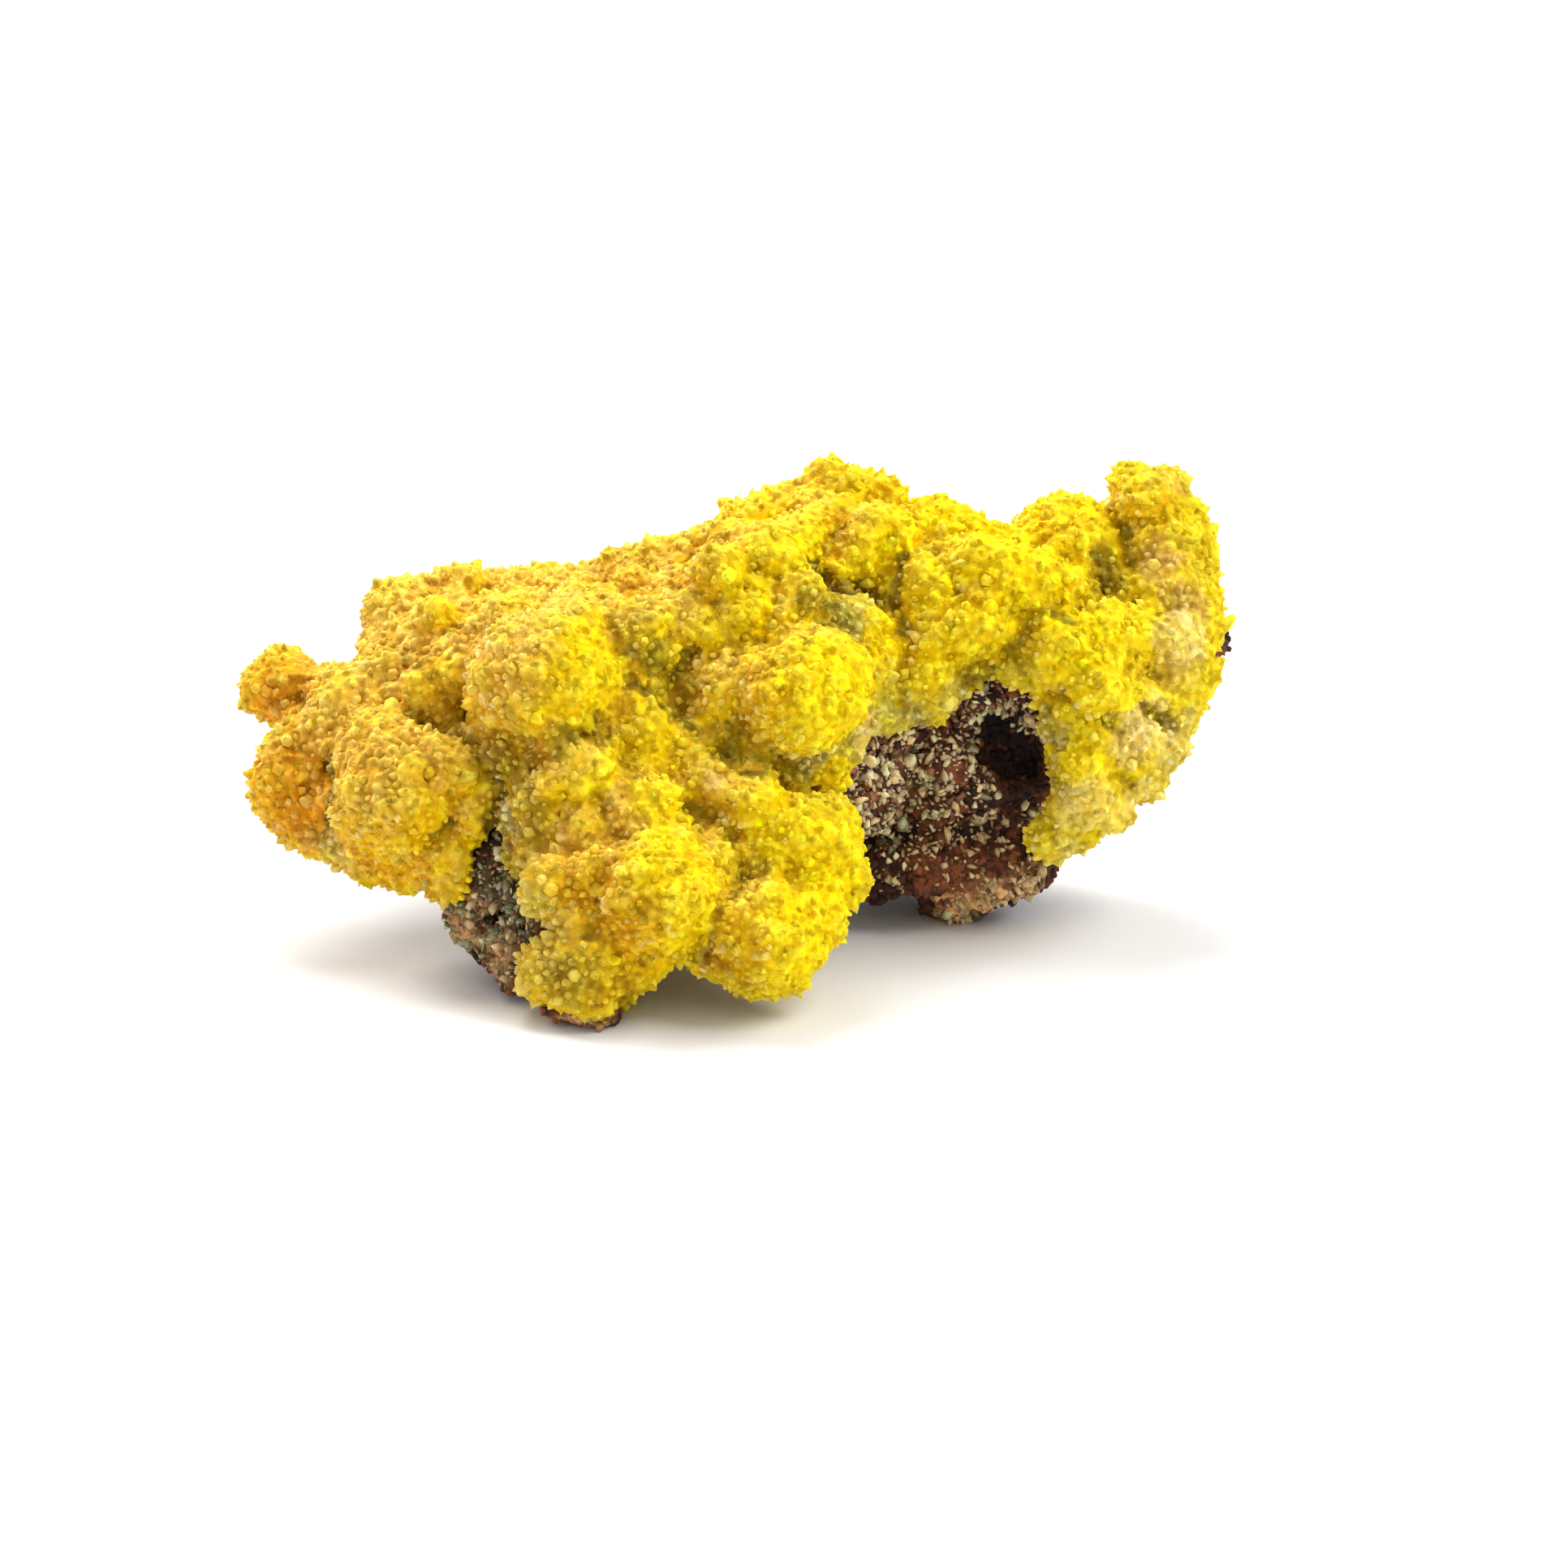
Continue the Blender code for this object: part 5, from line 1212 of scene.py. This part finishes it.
class SPECIMEN_OT_druse(bpy.types.Operator):
    """Lines the hollow with small pale crystals, and strews some over the bare rock near the crust"""

    bl_idname = "specimen.druse"
    bl_label = "Pale druse"

    def execute(self, context):
        rock_settings = context.scene.rock_settings
        rock = bpy.data.objects["rock"]
        rock_tree = tree_of(rock)
        bed = copy_of_node("hollow_druse", "druse_bed")
        fuse(bed, DRUSE_BED_GRID * MM)
        relief(bed, "druse_bed", "CLOUDS", 0.6 * MM, 0.25 * MM)
        surface = Surface(bed)
        patches = patch_centres(ROCK_PATCHES, rock_tree)
        paint(bed, BED_BRIGHTNESS * rock_colours(rock_settings, surface.points, surface.hollow, patches))
        bed.data.materials.append(rock_material("druse_rock"))
        add_piece(bed, "hollow_druse", "hollow_druse")
        spots = patch_centres(DRUSE_SPOTS, rock_tree)
        chips = self.strew_chips(context.scene.druse_settings, rock_settings, (surface, Surface(rock)), spots)
        chips.data.materials.append(druse_material("pale_crystal"))
        add_piece(chips, "hollow_druse")
        return {"FINISHED"}

    def strew_chips(self, settings, rock_settings, surfaces, spots):
        """The pale crystals, over the bed and over the rock near it."""
        rng = np.random.default_rng(settings.seed)
        parts = [self.strewn(surface, rng, settings, spots, least)
                 for surface, least in zip(surfaces, LEAST_DENSITY)]
        points, normals, mixes = (np.concatenate(both) for both in zip(*parts))
        count = len(points)
        shapes = [model_crystal(*form) for form in CHIPS]
        kinds = rng.integers(0, len(shapes), count)
        widths = settings.radius / MM * np.exp(rng.normal(0, 0.42, count)).clip(0.4, 2.2)
        turns = leaning_frames(rng, normals, math.radians(75), widths, widths * rng.uniform(1.2, 2.4, count))
        feet = points - turns[:, :, 2] * CHIP_SUNK
        palette = np.array([settings.white, settings.tan, settings.sage, rock_settings.rust])
        shares = np.cumsum(list(DRUSE_MIXES.values()), axis=1)
        chosen = (rng.random(count)[:, None] > shares[mixes]).sum(axis=1).clip(0, 3)
        colours = palette[chosen] * rng.uniform(0.40, 1.35, count)[:, None]
        chips = joined_copies("hollow_crystals", shapes, kinds, feet, turns)
        paint_copies(chips, shapes, kinds, colours)
        return chips

    def strewn(self, surface, rng, settings, spots, least):
        """Places for crystals, densest near the named spots, and the number of each one's mix."""
        def density(points):
            found = np.full(len(points), least * 0.6)
            mix = np.zeros(len(points), int)
            for centre, reach, strength, name in spots:
                distance = np.linalg.norm(points - np.array(centre), axis=1)
                here = strength * (1 - ramp(distance, 0.5 * reach, reach))
                mix[here > found] = list(DRUSE_MIXES).index(name)
                found = np.maximum(found, here)
            return found, mix

        def wanted(points, normals, hollow):
            return rng.random(len(points)) < density(points)[0] * (0.75 + 0.6 * mottle(points, 1.2, 5.0))

        points, normals, hollow = surface.scatter(rng, settings.spacing / MM, wanted)
        return points, normals, density(points)[1]


# The shares of white, tan, sage and rust crystals in each mix.
DRUSE_MIXES = {
    "pale": (0.46, 0.34, 0.04, 0.16),
    "grey_green": (0.06, 0.26, 0.58, 0.10),
    "tan": (0.10, 0.70, 0.02, 0.18),
}


# Where small crystals are densest on the rock, as (across, rise, reach, density, mix).
DRUSE_SPOTS = [
    (7.2, 14.6, 3.4, 1.2, "pale"), (9.5, 15.8, 3.4, 1.3, "pale"), (12.0, 17.0, 3.0, 1.3, "pale"),
    (14.4, 19.0, 2.2, 1.2, "pale"), (16.6, 18.0, 2.0, 1.0, "pale"), (10.0, 12.6, 3.6, 0.80, "pale"),
    (12.6, 13.6, 3.0, 0.75, "pale"), (8.8, 9.6, 2.6, 0.20, "pale"), (12.5, 10.4, 3.0, 0.25, "tan"),
    (17.2, 11.8, 1.6, 0.90, "pale"), (14.4, 10.8, 2.0, 0.30, "tan"), (10.4, 6.6, 1.6, 1.0, "tan"),
    (12.6, 6.6, 1.6, 1.1, "tan"), (14.8, 7.3, 1.7, 1.2, "tan"), (16.6, 8.3, 1.6, 1.2, "tan"),
    (-12.3, 8.6, 2.6, 0.95, "grey_green"), (-11.8, 6.4, 2.4, 0.90, "grey_green"),
    (-14.4, 6.2, 2.4, 0.60, "grey_green"), (-12.6, 4.2, 2.0, 0.45, "tan"),
]


DAYLIGHT_STRENGTH = 0.59
# The lamps, as (name, location and size in metres, watts, colour).
LAMPS = (
    ("right_window", (0.36, -0.02, 0.41), 0.36, 2.25, (1.0, 1.0, 0.98)),
    ("top_lamp", (-0.10, 0.22, 0.46), 0.28, 2.0, (1.0, 0.99, 0.95)),
    ("left_lamp", (-0.36, 0.24, 0.25), 0.10, 1.75, (1.0, 0.95, 0.86)),
)


class SPECIMEN_OT_stage(bpy.types.Operator):
    """Adds the pale floor, the soft lights and the camera"""

    bl_idname = "specimen.stage"
    bl_label = "Stage"

    def execute(self, context):
        settings = context.scene.stage_settings
        bpy.ops.object.select_all(action="DESELECT")
        bpy.ops.mesh.primitive_plane_add(size=settings.floor_size, location=(0, 0, 0))
        floor = context.object
        floor.name = "floor"
        material, _, shader = new_material("floor")
        shader.inputs["Base Color"].default_value = (*settings.floor, 1)
        shader.inputs["Roughness"].default_value = 0.6
        floor.data.materials.append(material)
        self.add_lights(settings)
        self.add_camera(context, settings)
        return {"FINISHED"}

    def add_lights(self, settings):
        world = bpy.data.worlds.new("daylight")
        bpy.context.scene.world = world
        world.use_nodes = True
        sky = world.node_tree.nodes["Background"]
        sky.inputs["Color"].default_value = (*settings.daylight, 1)
        sky.inputs["Strength"].default_value = DAYLIGHT_STRENGTH
        for lamp in LAMPS:
            self.area_light(*lamp)

    def area_light(self, name, location, size, energy, colour):
        """A square soft light that faces the specimen."""
        bpy.ops.object.light_add(type="AREA", location=location)
        lamp = bpy.context.object
        lamp.name = name
        lamp.data.size = size
        lamp.data.energy = energy
        lamp.data.color = colour
        lamp.rotation_euler = (Vector((0, 0, 0.01)) - Vector(location)).to_track_quat("-Z", "Y").to_euler()

    def add_camera(self, context, settings):
        bpy.ops.object.camera_add(location=EYE * MM, rotation=(math.pi / 2 - DISPLAY_TILT, 0, 0))
        camera = context.object
        camera.data.lens = camera.data.sensor_width * EYE_DISTANCE * MM / settings.view_width
        camera.data.clip_start = 0.01
        camera.data.clip_end = 20
        context.scene.camera = camera
        context.scene.view_settings.view_transform = "Standard"


class SPECIMEN_PT_panel(bpy.types.Panel):
    """Lists the specimen's pieces"""

    bl_idname = "SPECIMEN_PT_panel"
    bl_label = "Mimetite specimen"
    bl_space_type = "VIEW_3D"
    bl_region_type = "UI"
    bl_category = "Specimen"

    def draw(self, context):
        for operator in OPERATORS:
            self.layout.operator(operator.bl_idname)
        for group in ("crust_settings", "rock_settings", "druse_settings", "stage_settings"):
            box = self.layout.box()
            settings = getattr(context.scene, group)
            for name in settings.__annotations__:
                box.prop(settings, name)


GROUPS = {
    "crust_settings": CrustSettings, "rock_settings": RockSettings, "druse_settings": DruseSettings,
    "stage_settings": StageSettings,
}
OPERATORS = (SPECIMEN_OT_crust, SPECIMEN_OT_crystals, SPECIMEN_OT_rock, SPECIMEN_OT_druse, SPECIMEN_OT_stage)


def register():
    for name, group in GROUPS.items():
        bpy.utils.register_class(group)
        setattr(bpy.types.Scene, name, PointerProperty(type=group))
    for each in (*OPERATORS, SPECIMEN_PT_panel):
        bpy.utils.register_class(each)


def unregister():
    for each in (SPECIMEN_PT_panel, *reversed(OPERATORS)):
        bpy.utils.unregister_class(each)
    for name, group in GROUPS.items():
        delattr(bpy.types.Scene, name)
        bpy.utils.unregister_class(group)


def main():
    register()
    bpy.ops.specimen.crust()
    bpy.ops.specimen.crystals()
    bpy.ops.specimen.rock()
    bpy.ops.specimen.druse()
    bpy.ops.specimen.stage()


if __name__ == "__main__":
    main()
